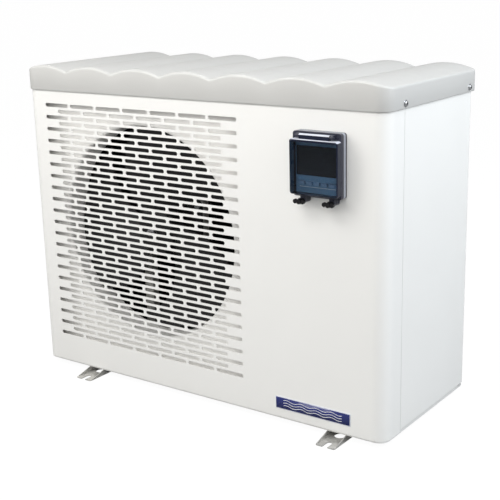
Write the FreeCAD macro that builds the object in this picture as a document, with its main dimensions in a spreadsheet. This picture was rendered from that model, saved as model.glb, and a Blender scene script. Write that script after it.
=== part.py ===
"""A residential pool heat pump: a sheet-metal cabinet on two foot rails, with a waved plastic lid, an axial
fan behind a slotted front, an L-shaped evaporator, the refrigerant circuit with its titanium water exchanger,
and a hinged weatherproof controller on the front. Millimetres; X to the right seen from the front, Y to the rear, Z up;
the origin is the centre of the footprint at floor level."""

import FreeCAD, Part
import Sketcher
import math
import os
import re

V = FreeCAD.Vector
doc = FreeCAD.newDocument("pool_heat_pump")
dims = doc.addObject("Spreadsheet::Sheet", "dims")
nodes = []

SIZES = {
    "cabinet": {
        "cab_width": 1040,  # over the side panels
        "cab_depth": 410,  # front face to rear face
        "panel_base": 19,  # lower edge of the front panel, and the tray's floor
        "side_base": 25,  # lower edge of the side and rear panels
        "panel_top": 763,  # upper edge of the panels, inside the lid
        "gauge": 2,  # sheet thickness
        "corner": 32,  # plan radius of the front corners
        "seam_depth": 73.5,  # depth of the front panel's side returns
        "seam_gap": 1,
        "hem": 15,  # inward fold along a side panel's front edge
        "rear_return": 35,  # fold of a side panel round the rear corner
        "rear_corner": 10,
        "rear_edge": 8,  # rear covers stop this far from the cabinet's sides
        "screw_inset": 20,  # rear screws, in from the cabinet's sides
    },
    "grille": {
        "slot_pitch": 86.8,
        "slot_gap": 7.4,  # land between two slots in a row
        "slot_half": 4.8,  # half a slot's height, and its end radius
        "slot_columns": 7,
        "slot_rows": 21,
        "row_pitch": 30.42,
        "side_columns": 3,
        "side_grille_y": 35,  # centre of the left panel's slots
        "cell_pitch": 44,  # rear guard's square mesh
        "cell_bar": 5,
        "cell_columns": 15,
        "cell_rows": 16,
    },
    "fan": {
        "fan_x": -157,
        "fan_z": 401,
        "deck_set": 22,  # deck behind the front face
        "deck_top": 758,
        "duct_radius": 265,
        "duct_depth": 62,
        "duct_lip": 8,
        "fan_radius": 255,
        "hub_radius": 60,
        "hub_front": -158,
        "hub_length": 52,
        "blade_thick": 3.2,
        "blade_depth": 48,  # front to back, over the blade's twist
        "blade_camber": 6,
        "blade_spread": 84,  # degrees that a blade covers at its root
        "blade_sweep": 34,  # degrees that its tip leads by
        "shaft_radius": 7,
        "shaft_front": -176,
        "shaft_rear": -60,
        "nut_radius": 12,
        "nut_height": 9,
        "motor_radius": 70,
        "motor_front": -88,
        "motor_length": 105,
        "motor_plate": 4,
        "motor_bolt_x": 88,
        "motor_bolt_z": 60,
        "bracket_inner": 75,  # fan axis to a bracket rail's inner side
        "bracket_wide": 26,
        "bracket_deep": 22,
        "bracket_top": 745,
    },
    "lid": {
        "lid_width": 1048,
        "lid_depth": 426,
        "lid_back": 4,  # the lid reaches further over the rear than over the front
        "lid_base": 743,
        "lid_side": 47,  # lower edge up to the valleys of the waves
        "lid_rise": 15,  # valley to crest
        "lid_wall": 3,
        "lid_corner": 36,
        "lid_rear_corner": 14,
        "lid_waves": 7,
        "lid_screw_front": -137,
        "lid_screw_rear": 177,
        "lid_screw_up": 11,  # above the lid's lower edge
    },
    "base": {
        "tray_inset": 2,
        "tray_lip": 4,
        "tray_flange": 26,
        "tray_play": 0.5,
        "tray_corner": 26,  # plan radius of the lip's front corners
        "drain_x": -157,
        "drain_y": 100,
        "drain_bore": 7,
        "drain_radius": 9,
        "drain_flange": 20,
        "rail_left_x": -340,
        "rail_right_x": 398,
        "rail_width": 50,
        "rail_height": 15,
        "rail_reach": 50,  # beyond the cabinet, front and rear
        "rail_flange": 16,
        "rail_bolt_y": 145,
        "rail_hole": 13,
        "rail_hole_in": 17,  # hole centre behind the cabinet face
        "anchor_width": 13,
        "anchor_depth": 27,
        "rail_nose": 5,
        "bolt_radius": 4,
        "bolt_hole": 4.2,
        "bolt_head": 7.5,
        "bolt_tall": 5,
        "washer_radius": 7.5,
        "screw_hole": 2.8,
    },
    "evaporator": {
        "coil_thick": 38,
        "coil_back": 193,
        "coil_left": -508,
        "coil_right": 176,
        "coil_front": -122,
        "coil_height": 715,
        "coil_bend": 60,
        "tube_pitch": 25.4,
        "tube_radius": 4.8,
        "bend_pairs": 13,
        "wall_x": 178,
        "wall_rear": 153,
    },
    "refrigerant": {
        "comp_x": 280,
        "comp_y": 60,
        "comp_radius": 66,
        "comp_height": 270,
        "comp_base": 53,
        "stud_circle": 72,
        "accu_x": 376,
        "accu_y": 106,
        "accu_radius": 34,
        "accu_height": 190,
        "accu_base": 120,
        "valve_x": 290,
        "valve_y": 60,
        "valve_z": 455,
        "valve_radius": 16,
        "valve_length": 120,
        "valve_port": 28,  # between two of the valve's lower ports
        "txv_x": 230,
        "txv_y": -95,
        "txv_base": 290,
        "txv_height": 40,
        "pipe_radius": 6,
        "thin_pipe": 4,
        "shell_x": 407,
        "shell_y": -95,
        "shell_base": 30,  # the vessel stands clear of the rail bolts
        "shell_foot": 40,
        "shell_radius": 92,
        "shell_wall": 5,
        "shell_height": 439,
        "riser_out": 58,  # from the vessel's axis to the coil's outer riser
        "riser_bend": 20,
        "lead_bend": 14,  # where the lead from the inner riser turns out to the coil
        "lead_run": 40,
        "helix_tube": 8,
        "helix_pitch": 36,
        "helix_turns": 9,
        "helix_base": 85,
    },
    "water": {
        "union_x": 440,
        "inlet_z": 150,
        "outlet_z": 420,
        "pipe_start": -28,
        "water_radius": 26,
        "port_bore": 20,
        "port_radius": 36,  # thread on the cabinet's side of a union
        "port_length": 30,
        "port_face": 222,
        "collar_radius": 35,
        "collar_thick": 4.2,
        "tail_radius": 31,
        "socket_radius": 25.15,  # takes a 50 mm pressure pipe
        "socket_depth": 26,
        "union_end": 255,
        "nut_outer": 43,
        "nut_start": 209,
        "nut_length": 25,
        "nut_ribs": 12,
        "union_play": 0.3,
    },
    "electrics": {
        "box_y": -188,
        "box_z": 590,
        "box_wide": 310,
        "box_deep": 290,
        "box_tall": 110,
        "board_wide": 190,
        "board_deep": 150,
        "board_lift": 12,
        "gland_x": 300,
        "gland_z": 640,
        "gland_bore": 7,
        "gland_thread": 12.5,
    },
    "controller": {
        "ctl_x": 366,
        "ctl_base": 557,
        "ctl_wide": 118.6,
        "ctl_tall": 139.4,
        "ctl_box": 22.1,  # depth of the back box
        "ctl_wall": 2.5,
        "ctl_round": 6,
        "ctl_inner_base": 564,
        "ctl_inner_tall": 116,
        "seal_thick": 8,
        "seal_back": 4,  # from the wall to the seal
        "seal_groove": 1.2,
        "cover_base": 563,
        "cover_tall": 119,
        "cover_back": 22.5,  # the closed cover's rear edge, in front of the cabinet
        "cover_deep": 16,
        "cover_wall": 2.2,
        "hinge_z": 689,
        "hinge_out": 30,  # hinge axis in front of the cabinet
        "hinge_radius": 4.5,
        "pin_radius": 1.6,
        "pin_bore": 1.65,
        "barrel_half": 37,
        "pin_half": 46.5,
        "panel_out": 19,  # front of the display panel, in front of the cabinet
        "glass_wide": 103,
        "glass_tall": 63,
        "glass_base": 603,
        "key_wide": 13,
        "key_tall": 7,
        "key_pitch": 18.5,
        "key_z": 586,
        "key_count": 5,
        "key_play": 0.4,
        "latch_half": 36,
        "latch_z": 548,
        "latch_boss": 6.5,
        "latch_pin": 2.5,
        "badge_x": 335.3,
        "badge_z": 54.6,
        "badge_wide": 200,
        "badge_tall": 30,
        "badge_thick": 1.2,
    },
}


# ---------------------------------------------------------------- the sheet and small helpers


def fill_sheet():
    """Writes every size to the sheet as its name, its value and its group."""
    row = 0
    for group_name, sizes in SIZES.items():
        for alias, value in sizes.items():
            row += 1
            dims.set(f"A{row}", alias)
            dims.set(f"B{row}", str(value))
            dims.setAlias(f"B{row}", alias)
            dims.set(f"C{row}", group_name)
    doc.recompute()


def size(alias):
    """A size from the sheet, as a number."""
    return float(dims.get(alias))


def formula(text):
    """The text with each alias written as the sheet's cell."""
    return re.sub(r"[a-z]\w*", lambda match: "dims." + match.group(0), str(text))


def evaluate(text):
    """A formula over the sheet, as a number."""
    return float(dims.evalExpression(formula(text)))


def bind(obj, **formulas):
    """Binds properties of obj to formulas over the sheet."""
    for name, text in formulas.items():
        obj.setExpression(name, formula(text))
    return obj


TURNS = {
    "Z": FreeCAD.Rotation(),
    "X": FreeCAD.Rotation(V(0, 1, 0), 90),
    "-X": FreeCAD.Rotation(V(0, 1, 0), -90),
    "Y": FreeCAD.Rotation(V(1, 0, 0), -90),
    "-Y": FreeCAD.Rotation(V(1, 0, 0), 90),
    "bend to X": FreeCAD.Rotation(V(0, 0, 1), V(1, 0, 0), V(0, 1, 0), "ZXY"),
    "bend to -Y": FreeCAD.Rotation(V(0, 0, 1), V(0, -1, 0), V(1, 0, 0), "ZXY"),
}


def place(obj, x=0, y=0, z=0, axis="Z"):
    """Puts obj at three formulas, with its own Z turned to axis."""
    obj.Placement = FreeCAD.Placement(V(0, 0, 0), TURNS[axis])
    for letter, text in zip("xyz", (x, y, z)):
        obj.setExpression(f".Placement.Base.{letter}", formula(text))
    return obj


def box(name, x, y, z, length, width, height):
    made = doc.addObject("Part::Box", name)
    bind(made, Length=length, Width=width, Height=height)
    return place(made, x, y, z)


def cylinder(name, radius, height, x, y, z, axis="Z"):
    made = doc.addObject("Part::Cylinder", name)
    bind(made, Radius=radius, Height=height)
    return place(made, x, y, z, axis)


def cone(name, radius1, radius2, height, x, y, z, axis="Z"):
    made = doc.addObject("Part::Cone", name)
    bind(made, Radius1=radius1, Radius2=radius2, Height=height)
    return place(made, x, y, z, axis)


def hexagon(name, radius, height, x, y, z, axis="Z"):
    made = doc.addObject("Part::Prism", name)
    made.Polygon = 6
    bind(made, Circumradius=radius, Height=height)
    return place(made, x, y, z, axis)


def fuse(name, *shapes):
    made = doc.addObject("Part::MultiFuse", name)
    made.Shapes = list(shapes)
    return made


def cut(name, base, *tools):
    made = doc.addObject("Part::Cut", name)
    made.Base = base
    made.Tool = tools[0] if len(tools) == 1 else fuse(name + "_tools", *tools)
    return made


def group(name, *shapes):
    """Separate solids kept as one node."""
    made = doc.addObject("Part::Compound", name)
    made.Links = list(shapes)
    return made


def feature(name, shape):
    made = doc.addObject("Part::Feature", name)
    made.Shape = shape
    return made


def soften(name, base, radius, chosen):
    """Rounds those edges of a Part object for which chosen(edge) is true."""
    doc.recompute()
    made = doc.addObject("Part::Fillet", name)
    made.Base = base
    reach = evaluate(radius)
    made.Edges = [(i + 1, reach, reach) for i, edge in enumerate(base.Shape.Edges) if chosen(edge)]
    return made


def shifted(spot, axis, distance):
    """A spot of three formulas, moved that far along an axis."""
    moved = list(spot)
    index = "XYZ".index(axis[-1])
    sign = "-" if axis[0] == "-" else "+"
    moved[index] = f"{spot[index]} {sign} ({distance})"
    return moved


def node(obj, label):
    """Marks obj as a finished sub-part; its label names its file."""
    obj.Label = label
    nodes.append(obj)
    return obj


# ---------------------------------------------------------------- Part Design helpers


def new_body(name):
    return doc.addObject("PartDesign::Body", name)


def new_sketch(body, name, plane, offset=0, across=0):
    """An empty sketch on one of the body's origin planes, moved along its normal and along its first axis."""
    role = plane + "_Plane"
    made = body.newObject("Sketcher::SketchObject", name)
    made.AttachmentSupport = [(next(f for f in body.Origin.OriginFeatures if f.Role == role), "")]
    made.MapMode = "FlatFace"
    made.setExpression(".AttachmentOffset.Base.z", formula(offset))
    made.setExpression(".AttachmentOffset.Base.x", formula(across))
    return made


def pin_point(sketch, index, end, x, y):
    """Fixes one end of a sketch edge at two formulas."""
    for kind, text in (("DistanceX", x), ("DistanceY", y)):
        number = sketch.addConstraint(Sketcher.Constraint(kind, -1, 1, index, end, evaluate(text)))
        sketch.setExpression(f"Constraints[{number}]", formula(text))


def pin_radius(sketch, index, radius):
    number = sketch.addConstraint(Sketcher.Constraint("Radius", index, evaluate(radius)))
    sketch.setExpression(f"Constraints[{number}]", formula(radius))


def arc_between(start, end, radius, clockwise):
    """The shorter flat arc from start to end."""
    chord = end - start
    across = V(-chord.y, chord.x, 0).normalize() * math.sqrt(max(radius**2 - chord.Length**2 / 4, 0))
    centre = (start + end) / 2 + (across * -1 if clockwise else across)
    order = (end, start) if clockwise else (start, end)
    angles = [math.atan2(p.y - centre.y, p.x - centre.x) for p in order]
    return Part.ArcOfCircle(Part.Circle(centre, V(0, 0, 1), radius), *angles)


def outline(sketch, corners):
    """A closed outline. A corner is (x, y), or (x, y, radius, turn) where an arc leads to the next one."""
    first = sketch.GeometryCount
    places = [V(evaluate(corner[0]), evaluate(corner[1]), 0) for corner in corners]
    ends = [(2, 1) if len(corner) > 2 and corner[3] == "cw" else (1, 2) for corner in corners]
    for i, corner in enumerate(corners):
        start, end = places[i], places[(i + 1) % len(corners)]
        if len(corner) > 2:
            sketch.addGeometry(arc_between(start, end, evaluate(corner[2]), corner[3] == "cw"))
        else:
            sketch.addGeometry(Part.LineSegment(start, end))
    for i, corner in enumerate(corners):
        after = (i + 1) % len(corners)
        sketch.addConstraint(
            Sketcher.Constraint("Coincident", first + i, ends[i][1], first + after, ends[after][0])
        )
        pin_point(sketch, first + i, ends[i][0], corner[0], corner[1])
        if len(corner) > 2:
            pin_radius(sketch, first + i, corner[2])
    return sketch


def rectangle(sketch, x0, y0, x1, y1):
    return outline(sketch, [(x0, y0), (x1, y0), (x1, y1), (x0, y1)])


def circle(sketch, x, y, radius):
    index = sketch.addGeometry(Part.Circle(V(evaluate(x), evaluate(y), 0), V(0, 0, 1), evaluate(radius)))
    pin_radius(sketch, index, radius)
    pin_point(sketch, index, 3, x, y)
    return sketch


def stadium(sketch, x0, x1, y, radius):
    """A round-ended slot from x0 to x1."""
    low, high = f"{y} - {radius}", f"{y} + {radius}"
    left, right = f"{x0} + {radius}", f"{x1} - {radius}"
    return outline(
        sketch, [(left, low), (right, low, radius, "ccw"), (right, high), (left, high, radius, "ccw")]
    )


def pad(body, sketch, length, flip=False, middle=False):
    made = body.newObject("PartDesign::Pad", sketch.Name + "_pad")
    made.Profile = sketch
    made.Reversed = flip
    made.SideType = "Symmetric" if middle else "One side"
    return bind(made, Length=length)


def pocket(body, sketch, length=None, flip=False):
    """A pocket of that length, or right through both ways when it has none. It has to remove material."""
    doc.recompute()
    before = body.Tip.Shape.Volume
    made = body.newObject("PartDesign::Pocket", sketch.Name + "_pocket")
    made.Profile = sketch
    made.Reversed = flip
    if length is None:
        made.SideType = "Symmetric"
        made.Type = "ThroughAll"
    else:
        bind(made, Length=length)
    doc.recompute()
    if made.Shape.Volume > before - 0.01:
        raise RuntimeError(f"{made.Name} removes nothing")
    return made


def revolve(body, sketch):
    """Turns the sketch round its own vertical axis."""
    made = body.newObject("PartDesign::Revolution", sketch.Name + "_turned")
    made.Profile = sketch
    made.ReferenceAxis = (sketch, ["V_Axis"])
    made.Angle = 360
    return made


def pattern(body, cutter, sketch, columns, rows, pitch_x, pitch_y):
    """Repeats a pocket along the sketch's two axes."""
    made = body.newObject("PartDesign::LinearPattern", cutter.Name + "_grid")
    made.Originals = [cutter]
    made.Direction = (sketch, ["H_Axis"])
    made.Direction2 = (sketch, ["V_Axis"])
    made.Mode = made.Mode2 = 1
    bind(made, Offset=pitch_x, Offset2=pitch_y, Occurrences=columns, Occurrences2=rows)
    body.Tip = made
    doc.recompute()
    made.Spacings2 = [-1.0] * (made.Occurrences2 - 1)  # every step between rows is the common pitch
    doc.recompute()
    return made


def round_edges(body, radius, chosen):
    """Fillets the tip's edges for which chosen(edge) is true."""
    doc.recompute()
    base = body.Tip
    names = [f"Edge{i + 1}" for i, edge in enumerate(base.Shape.Edges) if chosen(edge)]
    if not names:
        raise RuntimeError(f"{body.Name} has no such edge")
    made = body.newObject("PartDesign::Fillet", f"{body.Name}_round")
    made.Base = (base, names)
    bind(made, Radius=radius)
    doc.recompute()
    return made


def drill(body, name, plane, places, radius, offset=0, length=None):
    """Round holes at the given sketch places, right through both ways when no length is given."""
    sketch = new_sketch(body, name, plane, offset)
    for x, y in places:
        circle(sketch, x, y, radius)
    return pocket(body, sketch, length)


def along(edge, axis):
    """True for a straight edge along X, Y or Z."""
    if edge.Curve.TypeId != "Part::GeomLine":
        return False
    ends = [vertex.Point for vertex in edge.Vertexes]
    direction = (ends[1] - ends[0]).normalize()
    return abs(getattr(direction, axis.lower())) > 0.999


def upright_at(edge, x=None, y=None):
    """True for an upright edge at that distance from the centre in x, and that place in y."""
    centre = edge.BoundBox.Center
    if not along(edge, "Z"):
        return False
    if x is not None and abs(abs(centre.x) - x) > 0.1:
        return False
    return y is None or abs(centre.y - y) < 0.1


# ---------------------------------------------------------------- base


def rail_bolt_places():
    """Formulas for the bolts that hold the foot rails to the tray."""
    offset = "(rail_width/2 + rail_flange/2)"
    return [
        (f"{rail} {side} {offset}", f"{end}rail_bolt_y")
        for rail in ("rail_left_x", "rail_right_x")
        for side in ("-", "+")
        for end in ("-", "")
    ]


def compressor_bolt_places():
    """Formulas for the three compressor studs."""
    return [
        ("comp_x", "comp_y + stud_circle"),
        ("comp_x - stud_circle*0.866", "comp_y - stud_circle*0.5"),
        ("comp_x + stud_circle*0.866", "comp_y - stud_circle*0.5"),
    ]


def motor_bolt_places():
    """Formulas for the motor's four bolts, in x and z."""
    return [
        (f"fan_x {side} motor_bolt_x", f"fan_z {level} motor_bolt_z")
        for side in ("-", "+")
        for level in ("-", "+")
    ]


def base_tray():
    """A folded tray: square lip under the panels, flange up inside them, and the drain hole."""
    body = new_body("base_tray")
    half_x, half_y = "(cab_width/2 - tray_inset)", "(cab_depth/2 - tray_inset)"
    lip = new_sketch(body, "tray_lip_plan", "XY", "panel_base - tray_lip")
    rectangle(lip, f"-{half_x}", f"-{half_y}", half_x, half_y)
    pad(body, lip, "tray_lip")
    under = new_sketch(body, "tray_under", "XY", "panel_base - tray_lip")
    rectangle(under, f"gauge - {half_x}", f"gauge - {half_y}", f"{half_x} - gauge", f"{half_y} - gauge")
    pocket(body, under, "tray_lip - gauge", flip=True)
    inner_x = "(cab_width/2 - gauge - tray_play)"
    inner_y = "(cab_depth/2 - 2*gauge - tray_play)"
    flange = new_sketch(body, "tray_flange_plan", "XY", "panel_base")
    rectangle(flange, f"-{inner_x}", f"-{inner_y}", inner_x, inner_y)
    pad(body, flange, "tray_flange")
    hollow = new_sketch(body, "tray_hollow", "XY", "panel_base")
    rectangle(hollow, f"gauge - {inner_x}", f"gauge - {inner_y}", f"{inner_x} - gauge", f"{inner_y} - gauge")
    pocket(body, hollow, "tray_flange", flip=True)
    wall_x = evaluate(inner_x)
    level = size("panel_base") + size("tray_flange") / 2

    def at_flange(edge, x):
        return upright_at(edge, x) and abs(edge.BoundBox.Center.z - level) < 0.1

    round_edges(body, "corner - 2*gauge", lambda e: at_flange(e, wall_x - size("gauge")))
    round_edges(body, "corner - gauge", lambda e: at_flange(e, wall_x))
    lip_x, lip_y, gauge = evaluate(half_x), evaluate(half_y), size("gauge")
    for way, radius in ((-1, "tray_corner"), (1, "rear_corner")):
        round_edges(body, f"{radius} - gauge", lambda e: upright_at(e, lip_x - gauge, way * (lip_y - gauge)))
        round_edges(body, radius, lambda e: upright_at(e, lip_x, way * lip_y))
    drill(body, "tray_drain", "XY", [("drain_x", "drain_y")], "drain_bore + gauge/2")
    drill(body, "tray_bolts", "XY", rail_bolt_places() + compressor_bolt_places(), "bolt_hole")
    return node(body, "base_tray")


def foot_rail(side):
    """A top-hat channel whose ends run past the cabinet as slotted anchoring tabs."""
    name = f"rail_{side}"
    body = new_body(name)
    half, out = "rail_width/2", "(rail_width/2 + rail_flange)"
    top, under = "(rail_height + gauge)", "rail_height"
    right_half = [(half, "0"), (half, under), (out, under), (out, top), (f"{half} - gauge", top)]
    right_half.append((f"{half} - gauge", "gauge"))
    left_half = [(f"-({x})", z) for x, z in reversed(right_half)]
    section = new_sketch(body, name + "_section", "XZ")
    outline(section, right_half + left_half)
    pad(body, section, "cab_depth + 2*rail_reach", middle=True)
    ends = new_sketch(body, name + "_ends", "YZ")
    edge, tip, above = "(cab_depth/2 - 4)", "(cab_depth/2 + rail_reach)", "rail_height + 2*gauge"
    step = [(f"{edge} - 12", above), (f"{edge} - 12", under), (edge, under), (f"{tip} - 6", "gauge")]
    step += [(f"{tip} + 1", "gauge"), (f"{tip} + 1", above)]
    outline(ends, step)
    outline(ends, [(f"-({y})", z) for y, z in reversed(step)])
    pocket(body, ends)
    vibration = [("0", f"{sign}(cab_depth/2 - rail_hole_in)") for sign in ("-", "")]
    drill(body, name + "_web_holes", "XY", vibration, "rail_hole")
    bolts = [(f"{x}({half} + rail_flange/2)", f"{y}rail_bolt_y") for x in ("-", "") for y in ("-", "")]
    drill(body, name + "_bolt_holes", "XY", bolts, "bolt_hole")
    notch = new_sketch(body, name + "_notch", "XY")
    deep = f"({tip} - anchor_depth)"
    rectangle(notch, "-anchor_width/2", deep, "anchor_width/2", f"{tip} + 1")
    rectangle(notch, "-anchor_width/2", f"-{tip} - 1", "anchor_width/2", f"-{deep}")
    pocket(body, notch)
    deep_at = evaluate(deep)
    slot_half = size("anchor_width") / 2
    round_edges(
        body,
        "anchor_width/2 - 0.1",
        lambda e: upright_at(e, slot_half) and abs(abs(e.BoundBox.Center.y) - deep_at) < 1,
    )
    rail_half = size("rail_width") / 2
    round_edges(body, "rail_nose", lambda e: upright_at(e, rail_half) and abs(e.BoundBox.Center.y) > deep_at)
    place(body, x=f"rail_{side}_x")
    return node(body, name)


def hex_bolt(name, spot, axis, grip):
    """A hexagon bolt that stands on spot, points along axis and clamps grip below its head, with its nut."""
    head = hexagon(name + "_head", "bolt_head", "bolt_tall", *spot, axis)
    shank = cylinder(
        name + "_shank", "bolt_radius", f"{grip} + 8", *shifted(spot, axis, f"-({grip}) - 7"), axis
    )
    nut = hexagon(
        name + "_nut", "bolt_head", "bolt_tall", *shifted(spot, axis, f"-({grip}) - bolt_tall"), axis
    )
    return fuse(name, head, shank, nut)


def hex_bolts():
    """Every hexagon bolt: rails, compressor and motor."""
    made = []
    for x, y in rail_bolt_places():
        made.append(hex_bolt(f"bolt_{len(made)}", (x, y, "panel_base"), "Z", "2*gauge"))
    for x, y in compressor_bolt_places():
        made.append(hex_bolt(f"bolt_{len(made)}", (x, y, "comp_base"), "Z", "comp_base - panel_base + gauge"))
    for x, z in motor_bolt_places():
        made.append(hex_bolt(f"bolt_{len(made)}", (x, "motor_front", z), "-Y", "motor_plate + gauge"))
    return node(group("hex_bolt_group", *made), "hex_bolts")


def drain_spout():
    floor = "panel_base - 2*gauge"
    flange = cylinder("spout_flange", "drain_flange", "gauge", "drain_x", "drain_y", floor)
    tube = cylinder("spout_tube", "drain_radius", "11", "drain_x", "drain_y", f"{floor} - 11")
    bore = cylinder("spout_bore", "drain_bore", "40", "drain_x", "drain_y", "0")
    return node(cut("spout", fuse("spout_solid", flange, tube), bore), "drain_spout")


# ---------------------------------------------------------------- casing


def slots(body, plane, left, base, columns, name, depth_offset):
    """Two interleaved grids of slots, the second half a pitch over and one column shorter."""
    for shift, suffix in ((0, "a"), (1, "b")):
        x0 = f"{left} + {shift}*slot_pitch/2"
        z0 = f"{base} + {shift}*row_pitch/2"
        sketch = new_sketch(body, f"{name}_{suffix}", plane, depth_offset)
        stadium(sketch, x0, f"{x0} + slot_pitch - slot_gap", z0, "slot_half")
        cutter = pocket(body, sketch, "6*gauge")
        pattern(
            body, cutter, sketch, f"{columns} - {shift}", f"slot_rows - {shift}", "slot_pitch", "row_pitch"
        )


def front_panel():
    """The slotted front, folded round both front corners to the side seams."""
    body = new_body("front_panel")
    half, front, seam = "cab_width/2", "-cab_depth/2", "(seam_depth - cab_depth/2)"
    block = new_sketch(body, "front_block", "XY", "panel_base")
    rectangle(block, f"-{half}", front, half, seam)
    pad(body, block, "panel_top - panel_base")
    inner = new_sketch(body, "front_inner", "XY", "panel_base")
    rectangle(inner, f"gauge - {half}", f"{front} + gauge", f"{half} - gauge", f"{seam} + 1")
    pocket(body, inner, "panel_top - panel_base", flip=True)
    wall_x, wall_y = evaluate(half), evaluate(front)
    round_edges(
        body, "corner - gauge", lambda e: upright_at(e, wall_x - size("gauge"), wall_y + size("gauge"))
    )
    round_edges(body, "corner", lambda e: upright_at(e, wall_x, wall_y))
    left = "fan_x - (slot_columns*slot_pitch - slot_gap)/2"
    base = "fan_z - (slot_rows - 1)*row_pitch/2"
    slots(body, "XZ", left, base, "slot_columns", "front_slot", "cab_depth/2 + gauge")
    drill(body, "front_lid_holes", "YZ", [("lid_screw_front", "lid_base + lid_screw_up")], "screw_hole")
    return node(body, "front_panel")


def rear_screw_heights():
    return ("60", "390", "715")


def side_panel(side):
    """A side panel with a hem at the front seam and a fold round the rear corner. The left one is slotted."""
    name = f"{side}_panel"
    body = new_body(name)
    start = "(seam_depth + seam_gap - cab_depth/2)"
    rear = "(cab_depth/2 - gauge)"
    turn = "-" if side == "left" else ""
    plan = [
        (f"{turn}(cab_width/2 - hem)", start),
        (f"{turn}cab_width/2", start),
        (f"{turn}cab_width/2", rear),
        (f"{turn}(cab_width/2 - rear_return)", rear),
        (f"{turn}(cab_width/2 - rear_return)", f"{rear} - gauge"),
        (f"{turn}(cab_width/2 - gauge)", f"{rear} - gauge"),
        (f"{turn}(cab_width/2 - gauge)", f"{start} + gauge"),
        (f"{turn}(cab_width/2 - hem)", f"{start} + gauge"),
    ]
    sketch = new_sketch(body, name + "_plan", "XY", "side_base")
    outline(sketch, plan if side == "right" else plan[::-1])
    pad(body, sketch, "panel_top - side_base")
    relief = new_sketch(body, name + "_hem_relief", "XY", "side_base")
    ends = sorted((f"{turn}(cab_width/2 - gauge)", f"{turn}(cab_width/2 - hem - 1)"), key=evaluate)
    rectangle(relief, ends[0], f"{start} - 1", ends[1], f"{start} + gauge + 1")
    pocket(body, relief, "panel_base + tray_flange + 1 - side_base", flip=True)
    wall_x, wall_y, gauge = size("cab_width") / 2, evaluate(rear), size("gauge")
    round_edges(body, "rear_corner - gauge", lambda e: upright_at(e, wall_x - gauge, wall_y - gauge))
    round_edges(body, "rear_corner", lambda e: upright_at(e, wall_x, wall_y))
    drill(body, name + "_lid_hole", "YZ", [("lid_screw_rear", "lid_base + lid_screw_up")], "screw_hole")
    inward = f"{turn}(cab_width/2 - screw_inset)"
    places = [(inward, z) for z in rear_screw_heights()]
    drill(body, name + "_rear_holes", "XZ", places, "screw_hole", "4*gauge - cab_depth/2", "6*gauge")
    if side == "left":
        left = "side_grille_y - (side_columns*slot_pitch - slot_gap)/2"
        base = "fan_z - (slot_rows - 1)*row_pitch/2"
        slots(body, "YZ", left, base, "side_columns", "left_slot", "gauge - cab_width/2")
    return node(body, name)


def rear_panel():
    """The closed half of the rear, with holes for the water unions and the cable gland."""
    body = new_body("rear_panel")
    sheet = new_sketch(body, "rear_sheet", "XZ", "-cab_depth/2")
    rectangle(sheet, "wall_x - 7", "side_base", "cab_width/2 - rear_edge", "panel_top")
    pad(body, sheet, "gauge")
    drill(
        body, "port_holes", "XZ", [("union_x", "inlet_z"), ("union_x", "outlet_z")], "port_radius + gauge/2"
    )
    drill(body, "gland_hole", "XZ", [("gland_x", "gland_z")], "gland_thread + union_play")
    rows = ("wall_x + 7", "cab_width/2 - screw_inset")
    drill(body, "rear_screw_holes", "XZ", [(x, z) for x in rows for z in rear_screw_heights()], "screw_hole")
    return node(body, "rear_panel")


def rear_guard():
    """The square mesh over the evaporator."""
    body = new_body("rear_guard")
    left, right = "(rear_edge - cab_width/2)", "(wall_x - 8)"
    sheet = new_sketch(body, "guard_sheet", "XZ", "-cab_depth/2")
    rectangle(sheet, left, "side_base", right, "panel_top")
    pad(body, sheet, "gauge")
    cell = new_sketch(body, "guard_cell", "XZ", "gauge - cab_depth/2")
    x0 = f"({left} + {right} - cell_columns*cell_pitch + cell_bar)/2"
    z0 = "(side_base + lid_base - cell_rows*cell_pitch + cell_bar)/2"
    rectangle(cell, x0, z0, f"{x0} + cell_pitch - cell_bar", f"{z0} + cell_pitch - cell_bar")
    cutter = pocket(body, cell, "4*gauge")
    pattern(body, cutter, cell, "cell_columns", "cell_rows", "cell_pitch", "cell_pitch")
    rows = ("screw_inset - cab_width/2", "wall_x - 15.5")
    drill(body, "guard_holes", "XZ", [(x, z) for x in rows for z in rear_screw_heights()], "screw_hole")
    return node(body, "rear_guard")


def rear_post():
    """The upright strip that both rear covers are screwed to."""
    strip = box("post_strip", "wall_x - 30", "cab_depth/2 - 2*gauge", "side_base + 30", "50", "gauge", "690")
    places = [(x, z) for x in ("wall_x - 15.5", "wall_x + 7") for z in rear_screw_heights()]
    holes = [
        cylinder(f"post_hole_{i}", "screw_hole", "6*gauge", x, "cab_depth/2 - 4*gauge", z, "Y")
        for i, (x, z) in enumerate(places)
    ]
    return node(cut("post", strip, *holes), "rear_post")


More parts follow.
